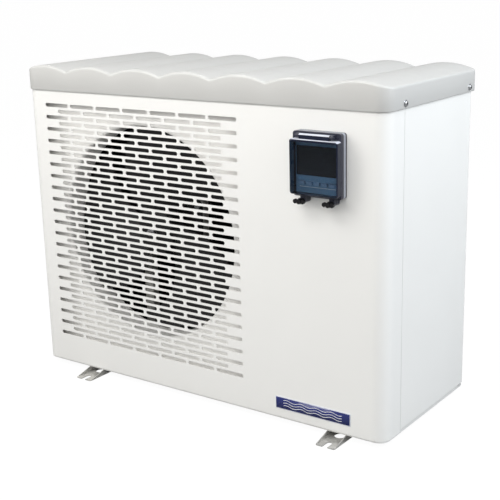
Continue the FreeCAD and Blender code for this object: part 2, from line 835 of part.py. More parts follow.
def top_lid():
    """A hollow lid whose top is seven shallow waves that run front to back."""
    body = new_body("top_lid")
    half, level, chord = "(lid_width/2)", "(lid_base + lid_side)", "(lid_width/lid_waves/2)"
    radius = f"({chord}^2 + lid_rise^2)/(2*lid_rise)"
    waves = int(size("lid_waves"))
    crest = [(f"{i}*2*{chord} - {half}", level, radius, "cw") for i in range(waves)]
    shell = new_sketch(body, "lid_section", "XZ")
    outline(shell, crest + [(half, level), (half, "lid_base"), (f"-{half}", "lid_base")])
    pad(body, shell, "lid_depth", middle=True)
    inner = new_sketch(body, "lid_hollow", "XZ")
    side, under = "(lid_width/2 - lid_wall)", f"({level} - lid_wall)"
    valleys = [f"-{side}"] + [f"{i}*2*{chord} - {half}" for i in range(1, waves)]
    ceiling = [(x, under, radius, "cw") for x in valleys]
    outline(inner, ceiling + [(side, under), (side, "lid_base - 1"), (f"-{side}", "lid_base - 1")])
    hollow = pocket(body, inner, "lid_depth - 2*lid_wall")
    hollow.SideType = "Symmetric"
    across, deep = size("lid_width") / 2, size("lid_depth") / 2
    wall = size("lid_wall")
    round_edges(body, "lid_corner - lid_wall", lambda e: upright_at(e, across - wall, wall - deep))
    round_edges(body, "lid_rear_corner - lid_wall", lambda e: upright_at(e, across - wall, deep - wall))
    round_edges(body, "lid_corner", lambda e: upright_at(e, across, -deep))
    round_edges(body, "lid_rear_corner", lambda e: upright_at(e, across, deep))
    places = [(f"{y} - lid_back", "lid_base + lid_screw_up") for y in ("lid_screw_front", "lid_screw_rear")]
    drill(body, "lid_screw_holes", "YZ", places, "screw_hole")
    place(body, y="lid_back")
    return node(body, "top_lid")


def casing_screw(name, spot, axis):
    """A pan-head screw with a washer, seated at spot and pointing out along axis."""
    washer = cylinder(name + "_washer", "washer_radius", "1.2", *spot, axis)
    head = cylinder(name + "_head", "6", "2.2", *shifted(spot, axis, "1.2"), axis)
    dome = cone(name + "_dome", "6", "3.6", "1.4", *shifted(spot, axis, "3.4"), axis)
    shank = cylinder(name + "_shank", "2.4", "9", *shifted(spot, axis, "-9"), axis)
    return fuse(name, washer, head, dome, shank)


def casing_screws():
    """The lid's four screws and the twelve in the rear covers."""
    seats = []
    for axis, face in (("X", "lid_width/2"), ("-X", "-lid_width/2")):
        for y in ("lid_screw_front", "lid_screw_rear"):
            seats.append(((face, y, "lid_base + lid_screw_up"), axis))
    for x in ("screw_inset - cab_width/2", "wall_x - 15.5", "wall_x + 7", "cab_width/2 - screw_inset"):
        seats += [((x, "cab_depth/2", z), "Y") for z in rear_screw_heights()]
    made = [casing_screw(f"screw_{i}", spot, axis) for i, (spot, axis) in enumerate(seats)]
    return node(group("screw_group", *made), "casing_screws")


def badge():
    x, z = "badge_x - badge_wide/2", "badge_z - badge_tall/2"
    y = "-cab_depth/2 - badge_thick"
    return node(box("badge_plate", x, y, z, "badge_wide", "badge_thick", "badge_tall"), "badge")


# ---------------------------------------------------------------- fan


def fan_deck():
    """The plate round the fan, with a bell-mouthed duct."""
    body = new_body("fan_deck")
    mouth = "(duct_radius + duct_lip)"
    sheet = new_sketch(body, "deck_sheet", "XZ", "cab_depth/2 - deck_set")
    rectangle(sheet, "9 - cab_width/2", "panel_base", "wall_x", "deck_top")
    pad(body, sheet, "gauge", flip=True)
    drill(body, "deck_opening", "XZ", [("fan_x", "fan_z")], mouth)
    front = "(deck_set - cab_depth/2)"
    duct = new_sketch(body, "duct_profile", "XY", "fan_z", "fan_x")
    outline(
        duct,
        [
            (mouth, front, "duct_lip", "cw"),
            ("duct_radius", f"{front} + duct_lip"),
            ("duct_radius", f"{front} + duct_depth"),
            ("duct_radius + gauge", f"{front} + duct_depth"),
            ("duct_radius + gauge", f"{front} + duct_lip", "duct_lip - gauge", "ccw"),
            (mouth, f"{front} + gauge"),
        ],
    )
    revolve(body, duct)
    return node(body, "fan_deck")


def partition_wall():
    wall = box(
        "wall", "wall_x", "deck_set - cab_depth/2", "panel_base", "gauge", "1", "deck_top - panel_base"
    )
    bind(wall, Width="wall_rear + cab_depth/2 - deck_set")
    return node(wall, "partition_wall")


def motor_bracket():
    """Two upright channels joined at the top and standing on feet, behind the motor's mounting plate."""
    front = "motor_front + motor_plate"
    parts = []
    for side, left in (("a", "fan_x - bracket_inner - bracket_wide"), ("b", "fan_x + bracket_inner")):
        rail = box(
            "rail_" + side, left, front, "panel_base",
            "bracket_wide", "bracket_deep", "bracket_top - panel_base",
        )
        hollow = box(
            "rail_hollow_" + side,
            f"{left} + gauge",
            f"{front} + gauge",
            "panel_base + gauge",
            "bracket_wide - 2*gauge",
            "bracket_deep",
            "bracket_top - panel_base",
        )
        foot = box("foot_" + side, f"{left} - 10", front, "panel_base", "bracket_wide + 20", "48", "gauge")
        parts += [cut("channel_" + side, rail, hollow), foot]
    span = "2*(bracket_inner + bracket_wide)"
    left = "fan_x - bracket_inner - bracket_wide"
    parts.append(box("bracket_bar", left, front, "bracket_top - 26", span, "gauge", "26"))
    holes = [
        cylinder(f"bracket_hole_{i}", "bolt_hole", "5*gauge", x, f"{front} - gauge", z, "Y")
        for i, (x, z) in enumerate(motor_bolt_places())
    ]
    return node(cut("bracket", fuse("bracket_solid", *parts), *holes), "motor_bracket")


def fan_motor():
    """A sealed motor on a square mounting plate, with a blind bore that carries the shaft."""
    reach_x, reach_z = "(motor_bolt_x + 12)", "(motor_bolt_z + 14)"
    y, axis = "motor_front", "Y"
    plate = box(
        "motor_sheet", f"fan_x - {reach_x}", y, f"fan_z - {reach_z}", f"2*{reach_x}", "motor_plate", "1"
    )
    bind(plate, Height=f"2*{reach_z}")
    plate = soften("motor_plate", plate, "12", lambda e: along(e, "Y"))
    can = cylinder("motor_can", "motor_radius", "motor_length", "fan_x", y, "fan_z", axis)
    can = soften(
        "motor_can_round",
        can,
        "9",
        lambda e: e.BoundBox.YMin > size("motor_front") + 50 and not along(e, "Y"),
    )
    boss = cylinder("motor_boss", "30", "8", "fan_x", f"{y} - 8", "fan_z", axis)
    cap = cone("motor_cap", "44", "38", "6", "fan_x", f"{y} + motor_length", "fan_z", axis)
    bore = cylinder("motor_bore", "shaft_radius + 0.05", "1", "fan_x", f"{y} - 9", "fan_z", axis)
    bind(bore, Height="shaft_rear - motor_front + 11")
    holes = [
        cylinder(f"motor_hole_{i}", "bolt_hole", "4*gauge", x, f"{y} - gauge", z, axis)
        for i, (x, z) in enumerate(motor_bolt_places())
    ]
    return node(cut("motor", fuse("motor_solid", plate, can, boss, cap), bore, *holes), "fan_motor")


def motor_shaft():
    shaft = cylinder(
        "shaft_bar", "shaft_radius", "shaft_rear - shaft_front", "fan_x", "shaft_front", "fan_z", "Y"
    )
    shaft = soften("shaft", shaft, "1", lambda e: e.BoundBox.YLength < 0.01)
    return node(shaft, "motor_shaft")


def blade_line(radius, turn, spread):
    """One curved line across a blade, wrapped round the fan's axis at that radius."""
    depth, middle = size("blade_depth"), evaluate("hub_front + hub_length/2")
    points = []
    for i in range(9):
        share = i / 8
        angle = math.radians(turn + spread * (share - 0.5))
        level = middle + depth * (share - 0.5) - size("blade_camber") * math.sin(math.pi * share)
        points.append(V(radius * math.sin(angle), level, radius * math.cos(angle)))
    curve = Part.BSplineCurve()
    curve.interpolate(points)
    return Part.Wire([curve.toShape()])


def fan_blades():
    """A moulded hub, open to the rear, with three wide swept blades."""
    hub_radius, reach, front = size("hub_radius"), size("fan_radius"), size("hub_front")
    lines = []
    for k in range(6):
        share = k / 5
        radius = hub_radius - 3 + (reach + 6 - hub_radius) * share
        lines.append(blade_line(radius, size("blade_sweep") * share**1.5, size("blade_spread") + 8 * share))
    blade = Part.makeLoft(lines, False, False).extrude(V(0, size("blade_thick"), 0))
    blade = blade.common(fan_drum(reach, front - 50, 150))
    hub = fan_drum(hub_radius, front, size("hub_length"))
    rim = [edge for edge in hub.Edges if edge.BoundBox.YMax < front + 0.01]
    shape = hub.makeFillet(14, rim).cut(fan_drum(hub_radius - 4, front + 6, size("hub_length")))
    for k in range(3):
        shape = shape.fuse(blade.rotated(V(0, 0, 0), V(0, 1, 0), 120 * k))
    shape = shape.fuse(fan_drum(16, front, size("hub_length")))
    made = feature("fan_shape", shape.cut(fan_drum(size("shaft_radius"), front - 50, 150)))
    return node(place(made, "fan_x", "0", "fan_z"), "fan_blades")


def fan_drum(radius, start, length):
    """A cylinder round the fan's axis, as a plain shape."""
    return Part.makeCylinder(radius, length, V(0, start, 0), V(0, 1, 0))


def fan_nut():
    spot = ("fan_x", "hub_front - nut_height", "fan_z")
    nut = hexagon("nut_solid", "nut_radius", "nut_height", *spot, "Y")
    bore = cylinder("nut_bore", "shaft_radius", "nut_height + 2", *shifted(spot, "Y", "-1"), "Y")
    return node(cut("nut", nut, bore), "fan_nut")


# ---------------------------------------------------------------- evaporator


def evaporator_fins():
    """The L-shaped block of fins along the left side and the rear."""
    body = new_body("evaporator_fins")
    plan = new_sketch(body, "coil_plan", "XY", "panel_base")
    inner_x, inner_y = "(coil_left + coil_thick)", "(coil_back - coil_thick)"
    outline(
        plan,
        [
            ("coil_left", "coil_front"),
            ("coil_left", "coil_back"),
            ("coil_right", "coil_back"),
            ("coil_right", inner_y),
            (inner_x, inner_y),
            (inner_x, "coil_front"),
        ][::-1],
    )
    pad(body, plan, "coil_height")
    left, back, thick = size("coil_left"), size("coil_back"), size("coil_thick")
    round_edges(body, "coil_bend - coil_thick", lambda e: upright_at(e, -left - thick, back - thick))
    round_edges(body, "coil_bend", lambda e: upright_at(e, -left, back))
    return node(body, "evaporator_fins")


def coil_end_plates():
    """The tube sheets at both ends of the fin block."""
    right = box(
        "end_right", "coil_right", "wall_rear - 5", "panel_base", "wall_x - coil_right", "1", "coil_height"
    )
    bind(right, Width="cab_depth/2 - 3*gauge - 2*tray_play - wall_rear + 5")
    left = box(
        "end_left", "coil_left - 4", "coil_front - gauge", "panel_base",
        "coil_thick + 8", "gauge", "coil_height",
    )
    return node(group("end_plates", right, left), "coil_end_plates")


def return_bends():
    """The half rings that join the coil's tubes at both ends."""
    made = []
    for i in range(int(size("bend_pairs"))):
        level = f"panel_base + coil_height/2 + ({i} - (bend_pairs - 1)/2)*2*tube_pitch"
        for turn, x, y in (
            ("bend to X", "wall_x", "coil_back - coil_thick/2"),
            ("bend to -Y", "coil_left + coil_thick/2", "coil_front - gauge"),
        ):
            ring = doc.addObject("Part::Torus", f"bend_{len(made)}")
            ring.Angle3 = 180
            bind(ring, Radius1="tube_pitch/2", Radius2="tube_radius")
            made.append(place(ring, x, y, level, turn))
    return node(group("bends", *made), "evaporator_bends")


# ---------------------------------------------------------------- refrigerant circuit


def vessel(name, radius, height, x, y, z, rounding, axis="Z"):
    """A closed can with rounded ends."""
    can = cylinder(name + "_can", radius, height, x, y, z, axis)
    return soften(name, can, rounding, lambda e: e.Curve.TypeId == "Part::GeomCircle")


def rounded_route(route, bend):
    """Lines through the points of route, with an arc of radius bend at each corner."""
    edges, start = [], route[0]
    for before, corner, after in zip(route, route[1:], route[2:]):
        back, ahead = (before - corner).normalize(), (after - corner).normalize()
        half = back.getAngle(ahead) / 2
        run = bend / math.tan(half)
        middle = corner + (back + ahead).normalize() * (bend / math.sin(half) - bend)
        edges.append(Part.makeLine(start, corner + back * run))
        edges.append(Part.Arc(corner + back * run, middle, corner + ahead * run).toShape())
        start = corner + ahead * run
    edges.append(Part.makeLine(start, route[-1]))
    return edges


def tube(name, radius, bend, *points):
    """A round tube through formula points, with an arc of radius bend at each corner."""
    route = [V(*(evaluate(text) for text in point)) for point in points]
    ring = Part.makeCircle(size(radius), route[0], route[1] - route[0])
    return feature(name, Part.Wire(rounded_route(route, bend)).makePipeShell([Part.Wire(ring)], True, True))


def compressor():
    """A welded can on a foot plate with three ears, with its terminal cover."""
    can = vessel("comp_shell", "comp_radius", "comp_height", "comp_x", "comp_y", "comp_base", "26")
    seam = cylinder("comp_seam", "comp_radius + 2", "8", "comp_x", "comp_y", "comp_base + comp_height - 70")
    foot_z = "comp_base - 4"
    parts = [can, seam, cylinder("comp_foot", "comp_radius + 2", "4", "comp_x", "comp_y", foot_z)]
    parts += [
        cylinder(f"comp_ear_{i}", "14", "4", x, y, foot_z)
        for i, (x, y) in enumerate(compressor_bolt_places())
    ]
    parts.append(
        box("comp_cover", "comp_x - 26", "comp_y - comp_radius - 14", "comp_base + 150", "52", "40", "64")
    )
    holes = [
        cylinder(f"comp_hole_{i}", "bolt_hole", "12", x, y, "comp_base - 6")
        for i, (x, y) in enumerate(compressor_bolt_places())
    ]
    return node(cut("comp", fuse("comp_solid", *parts), *holes), "compressor")


def compressor_grommets():
    """Rubber mounts between the tray and the compressor's ears."""
    made = []
    for i, (x, y) in enumerate(compressor_bolt_places()):
        low = cone(f"grommet_low_{i}", "15", "11", "15", x, y, "panel_base")
        high = cone(f"grommet_high_{i}", "11", "14", "15", x, y, "panel_base + 15")
        bore = cylinder(f"grommet_bore_{i}", "bolt_hole", "40", x, y, "panel_base - 5")
        made.append(cut(f"grommet_{i}", fuse(f"grommet_solid_{i}", low, high), bore))
    return node(group("grommets", *made), "compressor_grommets")


def accumulator():
    return node(
        vessel("accu", "accu_radius", "accu_height", "accu_x", "accu_y", "accu_base", "22"), "accumulator"
    )


def reversing_valve():
    """A four-port slide valve with its solenoid."""
    left = "valve_x - valve_length/2"
    parts = [vessel("valve_can", "valve_radius", "valve_length", left, "valve_y", "valve_z", "8", "X")]
    for i, offset in enumerate(("-valve_port", "0", "valve_port")):
        x = f"valve_x + ({offset})"
        parts.append(cylinder(f"valve_stub_{i}", "pipe_radius + 2", "24", x, "valve_y", "valve_z - 34"))
    parts.append(cylinder("valve_top", "pipe_radius + 2", "24", "valve_x", "valve_y", "valve_z + 10"))
    parts.append(cylinder("solenoid_pilot", "5", "60", left + " + 20", "valve_y - 24", "valve_z", "X"))
    parts.append(box("solenoid_coil", f"{left} + 62", "valve_y - 42", "valve_z - 16", "34", "28", "32"))
    return node(fuse("reversing_valve_solid", *parts), "reversing_valve")


def expansion_valve():
    spot = ("txv_x", "txv_y", "txv_base")
    side = shifted(spot, "Z", "txv_height - 12")
    parts = [
        cylinder("txv_body", "9", "txv_height", *spot),
        hexagon("txv_hex", "15", "12", *shifted(spot, "Z", "6")),
        cylinder("txv_neck", "6", "16", *side, "X"),
        cylinder("txv_head", "17", "9", *shifted(side, "X", "15"), "X"),
    ]
    return node(fuse("expansion_valve_solid", *parts), "expansion_valve")


def discharge_pipe():
    """Compressor top to the reversing valve's upper port."""
    top = "comp_base + comp_height - 4"
    rise, over, behind = "comp_base + comp_height + 30", "valve_z + 62", "valve_y + 40"
    x = "comp_x + 32"
    return node(
        tube(
            "discharge",
            "pipe_radius",
            13,
            (x, "comp_y", top),
            (x, "comp_y", rise),
            (x, behind, rise),
            (x, behind, over),
            ("valve_x", "valve_y", over),
            ("valve_x", "valve_y", "valve_z + 34"),
        ),
        "discharge_pipe",
    )


def suction_pipe():
    """Reversing valve to the accumulator, and on to the compressor's side."""
    low = "valve_z - 34"
    accu_top = "accu_base + accu_height"
    upper = tube(
        "suction_upper",
        "pipe_radius",
        16,
        ("valve_x", "valve_y", low),
        ("valve_x", "valve_y", f"{low} - 32"),
        ("accu_x", "accu_y", f"{low} - 32"),
        ("accu_x", "accu_y", accu_top),
    )
    lower = tube(
        "suction_lower",
        "pipe_radius",
        14,
        ("accu_x", "accu_y", "accu_base"),
        ("accu_x", "accu_y", "accu_base - 28"),
        ("comp_x + comp_radius*0.9", "comp_y + comp_radius*0.43", "accu_base - 28"),
    )
    return node(group("suction", upper, lower), "suction_pipe")


def gas_pipe():
    """Reversing valve to the water exchanger's coil, and to the evaporator."""
    low = "valve_z - 34"
    over = "shell_base + shell_height + 62"
    to_water = tube(
        "gas_water",
        "pipe_radius",
        16,
        ("valve_x + valve_port", "valve_y", low),
        ("valve_x + valve_port", "valve_y", f"{low} - 26"),
        ("valve_x + valve_port", "valve_y - 42", f"{low} - 26"),
        ("valve_x + valve_port", "valve_y - 42", over),
        ("shell_x + riser_out", "valve_y - 42", over),
        ("shell_x + riser_out", "shell_y", over),
        ("shell_x + riser_out", "shell_y", "shell_base + shell_height + 20"),
    )
    to_air = tube(
        "gas_air",
        "pipe_radius",
        16,
        ("valve_x - valve_port", "valve_y", low),
        ("valve_x - valve_port", "valve_y", f"{low} - 34"),
        ("wall_x + 24", "valve_y", f"{low} - 34"),
        ("wall_x + 24", "wall_rear + 6", f"{low} - 34"),
        ("wall_x", "wall_rear + 6", f"{low} - 34"),
    )
    return node(group("gas", to_water, to_air), "gas_pipe")


def liquid_pipe():
    """Water exchanger to the expansion valve, and on to the evaporator."""
    over = "shell_base + shell_height + 85"
    upper = tube(
        "liquid_upper",
        "thin_pipe",
        12,
        ("shell_x", "shell_y", "shell_base + shell_height + 20"),
        ("shell_x", "shell_y", over),
        ("txv_x", "txv_y", over),
        ("txv_x", "txv_y", "txv_base + txv_height"),
    )
    lower = tube(
        "liquid_lower",
        "thin_pipe",
        11,
        ("txv_x", "txv_y", "txv_base"),
        ("txv_x", "txv_y", "panel_base + 60"),
        ("wall_x + 16", "txv_y", "panel_base + 60"),
        ("wall_x + 16", "wall_rear + 6", "panel_base + 60"),
        ("wall_x", "wall_rear + 6", "panel_base + 60"),
    )
    return node(group("liquid", upper, lower), "liquid_pipe")


def exchanger_shell():
    """The water vessel that holds the titanium coil, with two side ports and two coil glands on top."""
    spot = ("shell_x", "shell_y", "shell_base")
    outer = vessel("shell_outer", "shell_radius", "shell_height", *spot, "30")
    foot = cylinder(
        "shell_foot_ring", "shell_foot", "shell_base - panel_base + 2", "shell_x", "shell_y", "panel_base"
    )
    rim = cylinder("shell_rim", "shell_radius + 4", "18", *shifted(spot, "Z", "shell_height - 60"))
    glands = [
        cylinder(f"shell_gland_{i}", "helix_tube + 5", "14", x, "shell_y", "shell_base + shell_height - 2")
        for i, x in enumerate(("shell_x", "shell_x + riser_out"))
    ]
    inner = vessel("shell_inner", "shell_radius - shell_wall", "shell_height - 2*shell_wall", *spot, "26")
    inner.Base.setExpression(".Placement.Base.z", formula("shell_base + shell_wall"))
    ports = [
        cylinder(f"shell_port_{z}", "water_radius", "90", "union_x", "shell_y + 20", z, "Y") for z in (
            "inlet_z", "outlet_z"
        )
    ]
    bores = [
        cylinder(f"shell_bore_{i}", "helix_tube", "60", x, "shell_y", "shell_base + shell_height - 30")
        for i, x in enumerate(("shell_x", "shell_x + riser_out"))
    ]
    solid = fuse("shell_solid", outer, foot, rim, *glands)
    return node(cut("shell", solid, inner, *ports, *bores), "exchanger_shell")


def titanium_coil():
    """The coiled titanium tube: down the vessel's axis, out to the coil, up its turns and out at the top."""
    out, bend, pitch = size("riser_out"), size("riser_bend"), size("helix_pitch")
    rise, base, top = pitch * size("helix_turns"), size("helix_base"), evaluate(
        "shell_base + shell_height + 20"
    )
    radius, turn = math.sqrt(out**2 - bend**2), -math.asin(bend / out)
    first = V(radius * math.cos(turn), radius * math.sin(turn), base)
    along_turn = V(-math.sin(turn), math.cos(turn), pitch / (math.tau * radius))
    helix = Part.makeHelix(pitch, rise, radius)
    helix.rotate(V(), V(0, 0, 1), math.degrees(turn))
    helix.translate(V(0, 0, base))
    lead = first - along_turn * size("lead_run")
    last = first + V(0, 0, rise)
    corner = last + along_turn * bend
    edges = rounded_route([V(0, 0, top), V(0, 0, lead.z), lead, first], size("lead_bend"))
    edges += helix.Edges + rounded_route([last, corner, V(corner.x, corner.y, top)], size("lead_bend"))
    ring = Part.makeCircle(size("helix_tube"), V(0, 0, top), V(0, 0, -1))
    made = feature("helix", Part.Wire(edges).makePipeShell([Part.Wire(ring)], True, True))
    return node(place(made, "shell_x", "shell_y"), "titanium_coil")


# ---------------------------------------------------------------- water side


def water_pipe(name, level):
    """A straight pipe from the exchanger to its threaded port behind the cabinet."""
    spot = ("union_x", "pipe_start", level)
    pipe = cylinder(name + "_tube", "water_radius", "port_face - pipe_start", *spot, "Y")
    port = cylinder(
        name + "_port", "port_radius", "port_length", "union_x", "port_face - port_length", level, "Y"
    )
    port = soften(name + "_port_round", port, "2", lambda e: e.BoundBox.YMin > size("port_face") - 0.1)
    bore = cylinder(
        name + "_bore", "port_bore", "port_face - pipe_start + 10", *shifted(spot, "Y", "-5"), "Y"
    )
    return node(cut(name + "_solid", fuse(name + "_outer", pipe, port), bore), name)


def union_nut(name, level):
    """A ribbed nut that turns freely on the port and the tail's collar."""
    spot = ("union_x", "nut_start", level)
    ring = cylinder(name + "_ring", "nut_outer - 3", "nut_length", *spot, "Y")
    ribs = []
    for i in range(int(size("nut_ribs"))):
        angle = math.tau * i / size("nut_ribs")
        x, z = math.cos(angle), math.sin(angle)
        spine = f"(nut_outer - 5)*({x:.5f})", f"(nut_outer - 5)*({z:.5f})"
        ribs.append(
            cylinder(
                f"{name}_rib_{i}", "5", "nut_length",
                f"union_x + {spine[0]}", "nut_start", f"{level} + {spine[1]}", "Y",
            )
        )
    wide_end = "port_face + collar_thick + union_play"
    wide = cylinder(
        name + "_wide", "port_radius + union_play",
        f"{wide_end} - nut_start + 1", *shifted(spot, "Y", "-1"), "Y",
    )
    lip = cylinder(
        name + "_lip", "tail_radius + union_play", "nut_length + 4", *shifted(spot, "Y", "-2"), "Y"
    )
    return node(cut(name + "_solid", fuse(name + "_outer", ring, *ribs), wide, lip), name)


def union_tails():
    """The solvent sockets that the union nuts hold against the ports."""
    made = []
    for level in ("inlet_z", "outlet_z"):
        name, spot = f"tail_{level}", ("union_x", "port_face", level)
        collar = cylinder(name + "_collar", "collar_radius", "collar_thick", *spot, "Y")
        barrel = cylinder(name + "_barrel", "tail_radius", "union_end - port_face", *spot, "Y")
        bore = cylinder(name + "_bore", "port_bore", "60", *shifted(spot, "Y", "-5"), "Y")
        socket = cylinder(name + "_socket", "socket_radius", "socket_depth + 5", "union_x", "1", level, "Y")
        socket.setExpression(".Placement.Base.y", formula("union_end - socket_depth"))
        made.append(cut(name, fuse(name + "_outer", collar, barrel), bore, socket))
    return node(group("tails", *made), "union_tails")


def flow_switch():
    """A paddle switch saddled on the inlet pipe."""
    boss = cylinder("switch_boss", "12", "24", "union_x", "100", "inlet_z + water_radius - 6")
    head = box("switch_head", "union_x - 18", "80", "inlet_z + water_radius + 16", "36", "40", "34")
    head = soften("switch_case", head, "4", lambda e: along(e, "Z"))
    pipe = cylinder("switch_saddle", "water_radius", "80", "union_x", "60", "inlet_z", "Y")
    return node(cut("switch", fuse("switch_solid", boss, head), pipe), "flow_switch")


# ---------------------------------------------------------------- electrics


def electrical_box():
    """An open tray for the electrical parts, with pillars for the control board."""
    spot = ("wall_x + gauge", "box_y", "box_z")
    outer = box("tray_outer", *spot, "box_wide", "box_deep", "box_tall")
    inner = box(
        "tray_inner", "wall_x + 2*gauge", "box_y + gauge", "box_z + gauge",
        "1", "box_deep - 2*gauge", "box_tall",
    )
    bind(inner, Length="box_wide - 2*gauge")
    pillars = []
    for x in ("22", "12 + board_wide - 22"):
        for y in ("22", "12 + board_deep - 22"):
            pillars.append(
                cylinder(
                    f"pillar_{len(pillars)}", "4", "board_lift",
                    f"wall_x + gauge + {x}", f"box_y + {y}", "box_z + gauge",
                )
            )
    return node(fuse("electrical_solid", cut("tray_shell", outer, inner), *pillars), "electrical_box")


def control_board():
    """The main circuit board with its larger parts."""
    x, y, z = "wall_x + gauge + 12", "box_y + 12", "box_z + gauge + board_lift"
    parts = [box("board_sheet", x, y, z, "board_wide", "board_deep", "gauge")]
    top = f"{z} + gauge"
    for i in range(4):
        parts.append(box(f"relay_{i}", f"{x} + 14 + {i}*30", f"{y} + 12", top, "22", "28", "17"))
    for i in range(3):
        parts.append(cylinder(f"capacitor_{i}", "9", "28", f"{x} + 30 + {i}*26", f"{y} + 118", top))
    parts.append(box("transformer", f"{x} + 138", f"{y} + 60", top, "42", "48", "36"))
    parts.append(box("connector", f"{x} + 20", f"{y} + 62", top, "84", "12", "12"))
    return node(fuse("board", *parts), "control_board")


def terminal_block():
    x, y, z = "wall_x + gauge + 216", "box_y + 20", "box_z + gauge"
    block = box("terminal_solid", x, y, z, "80", "30", "30")
    cells = [
        box(f"terminal_cell_{i}", f"{x} + 5 + {i}*15", f"{y} + 7", f"{z} + 12", "10", "30", "30")
        for i in range(5)
    ]
    return node(cut("terminals", block, *cells), "terminal_block")


def contactor():
    x, y, z = "wall_x + gauge + 226", "box_y + 90", "box_z + gauge"
    parts = [
        box("contactor_base", x, y, z, "56", "74", "34"),
        box("contactor_top", f"{x} + 8", f"{y} + 12", f"{z} + 34", "40", "50", "30"),
    ]
    return node(fuse("contactor_solid", *parts), "contactor")


def power_gland():
    """The cable gland on the rear panel, with its lock nut inside."""
    spot, axis = ("gland_x", "cab_depth/2", "gland_z"), "Y"
    parts = [
        cylinder("gland_sleeve", "gland_thread", "24", *shifted(spot, axis, "-18"), axis),
        hexagon("gland_flange", "17", "7", *spot, axis),
        cone("gland_dome", "15", "11", "18", *shifted(spot, axis, "7"), axis),
        hexagon("gland_locknut", "17", "5", *shifted(spot, axis, "-gauge - 5"), axis),
    ]
    bore = cylinder("gland_hole_tool", "gland_bore", "80", *shifted(spot, axis, "-40"), axis)
    return node(cut("gland", fuse("gland_solid", *parts), bore), "power_gland")


# ---------------------------------------------------------------- controller


def front_box(name, half, out, base, deep, tall, middle="ctl_x"):
    """A box centred on middle, whose front stands out that far in front of the cabinet."""
    return box(name, f"{middle} - ({half})", f"-cab_depth/2 - ({out})", base, f"2*({half})", deep, tall)


def seal_neck(name, play):
    """The waist of the back box that the wall seal goes round."""
    slim = f"(seal_groove - {play})"
    neck = front_box(
        name, f"ctl_wide/2 - {slim}", "seal_back + seal_thick", f"ctl_base + {slim}", "seal_thick", "1"
    )
    bind(neck, Height=f"ctl_tall - 2*{slim}")
    return soften(name + "_round", neck, "ctl_round - 1", lambda e: along(e, "Y"))


def controller_base():
    """The back box, with ears for the cover's pin, pillars for the boards and bosses for the latches."""
    case = front_box("base_case", "ctl_wide/2", "ctl_box", "ctl_base", "ctl_box", "ctl_tall")
    case = soften("base_case_round", case, "ctl_round", lambda e: along(e, "Y"))
    hollow = front_box(
        "base_hollow", "ctl_wide/2 - ctl_wall", "ctl_box + 1", "ctl_inner_base", "1", "ctl_inner_tall"
    )
    bind(hollow, Width="ctl_box - ctl_wall + 1")
    parts, y0 = [cut("base_shell", case, hollow)], "-cab_depth/2"
    for side in ("-", "+"):
        left = f"ctl_x {side} (barrel_half + pin_half + 0.5)/2 - (pin_half - barrel_half - 0.5)/2"
        wide = "pin_half - barrel_half - 0.5"
        tag = "left" if side == "-" else "right"
        parts.append(
            cylinder(f"ear_round_{tag}", "hinge_radius", wide, left, f"{y0} - hinge_out", "hinge_z", "X")
        )
        ear = box(
            f"ear_{tag}", left, f"{y0} - hinge_out", "hinge_z - hinge_radius", wide, "1", "2*hinge_radius"
        )
        bind(ear, Width="hinge_out - ctl_box + 1")
        boss_x = f"ctl_x {side} latch_half"
        parts.append(ear)
        parts.append(cylinder(f"boss_{tag}", "latch_boss", "ctl_box", boss_x, y0, "latch_z", "-Y"))
        parts.append(
            front_box(f"boss_web_{tag}", "latch_boss", "ctl_box", "latch_z", "ctl_box", "12", boss_x)
        )
        for level in ("low", "high"):
            z = "ctl_inner_base + 6" if level == "low" else "ctl_inner_base + ctl_inner_tall - 6"
            x = f"ctl_x {side} 50"
            post = cylinder(f"post_{tag}_{level}", "3", "ctl_wall", x, y0, z, "-Y")
            parts.append(bind(post, Height="panel_out - gauge"))
            z = "ctl_inner_base + 14" if level == "low" else "ctl_inner_base + ctl_inner_tall - 14"
            parts.append(cylinder(f"stud_{tag}_{level}", "2.5", "11", f"ctl_x {side} 41", y0, z, "-Y"))
    pin = cylinder("base_pin_bore", "pin_radius", "120", "ctl_x - 60", f"{y0} - hinge_out", "hinge_z", "X")
    bores = [
        cylinder(f"latch_bore_{i}", "latch_pin + 0.05", "16", x, f"{y0} - ctl_box + 15", "latch_z", "-Y")
        for i, x in enumerate(("ctl_x - latch_half", "ctl_x + latch_half"))
    ]
    around = front_box(
        "base_around", "ctl_wide/2 + 1", "seal_back + seal_thick", "ctl_base - 1",
        "seal_thick", "ctl_tall + 2",
    )
    groove = cut("base_groove", around, seal_neck("base_neck", "0"))
    return node(cut("base_solid", fuse("base_parts", *parts), pin, groove, *bores), "controller_base")


def controller_gasket():
    """The pale seal round the back box, just off the wall."""
    ring = front_box(
        "gasket_outer", "ctl_wide/2 - 0.1", "seal_back + seal_thick", "ctl_base + 0.1", "seal_thick", "1"
    )
    bind(ring, Height="ctl_tall - 0.2")
    ring = soften("gasket_round", ring, "ctl_round", lambda e: along(e, "Y"))
    return node(cut("gasket", ring, seal_neck("gasket_neck", "0.05")), "controller_gasket")


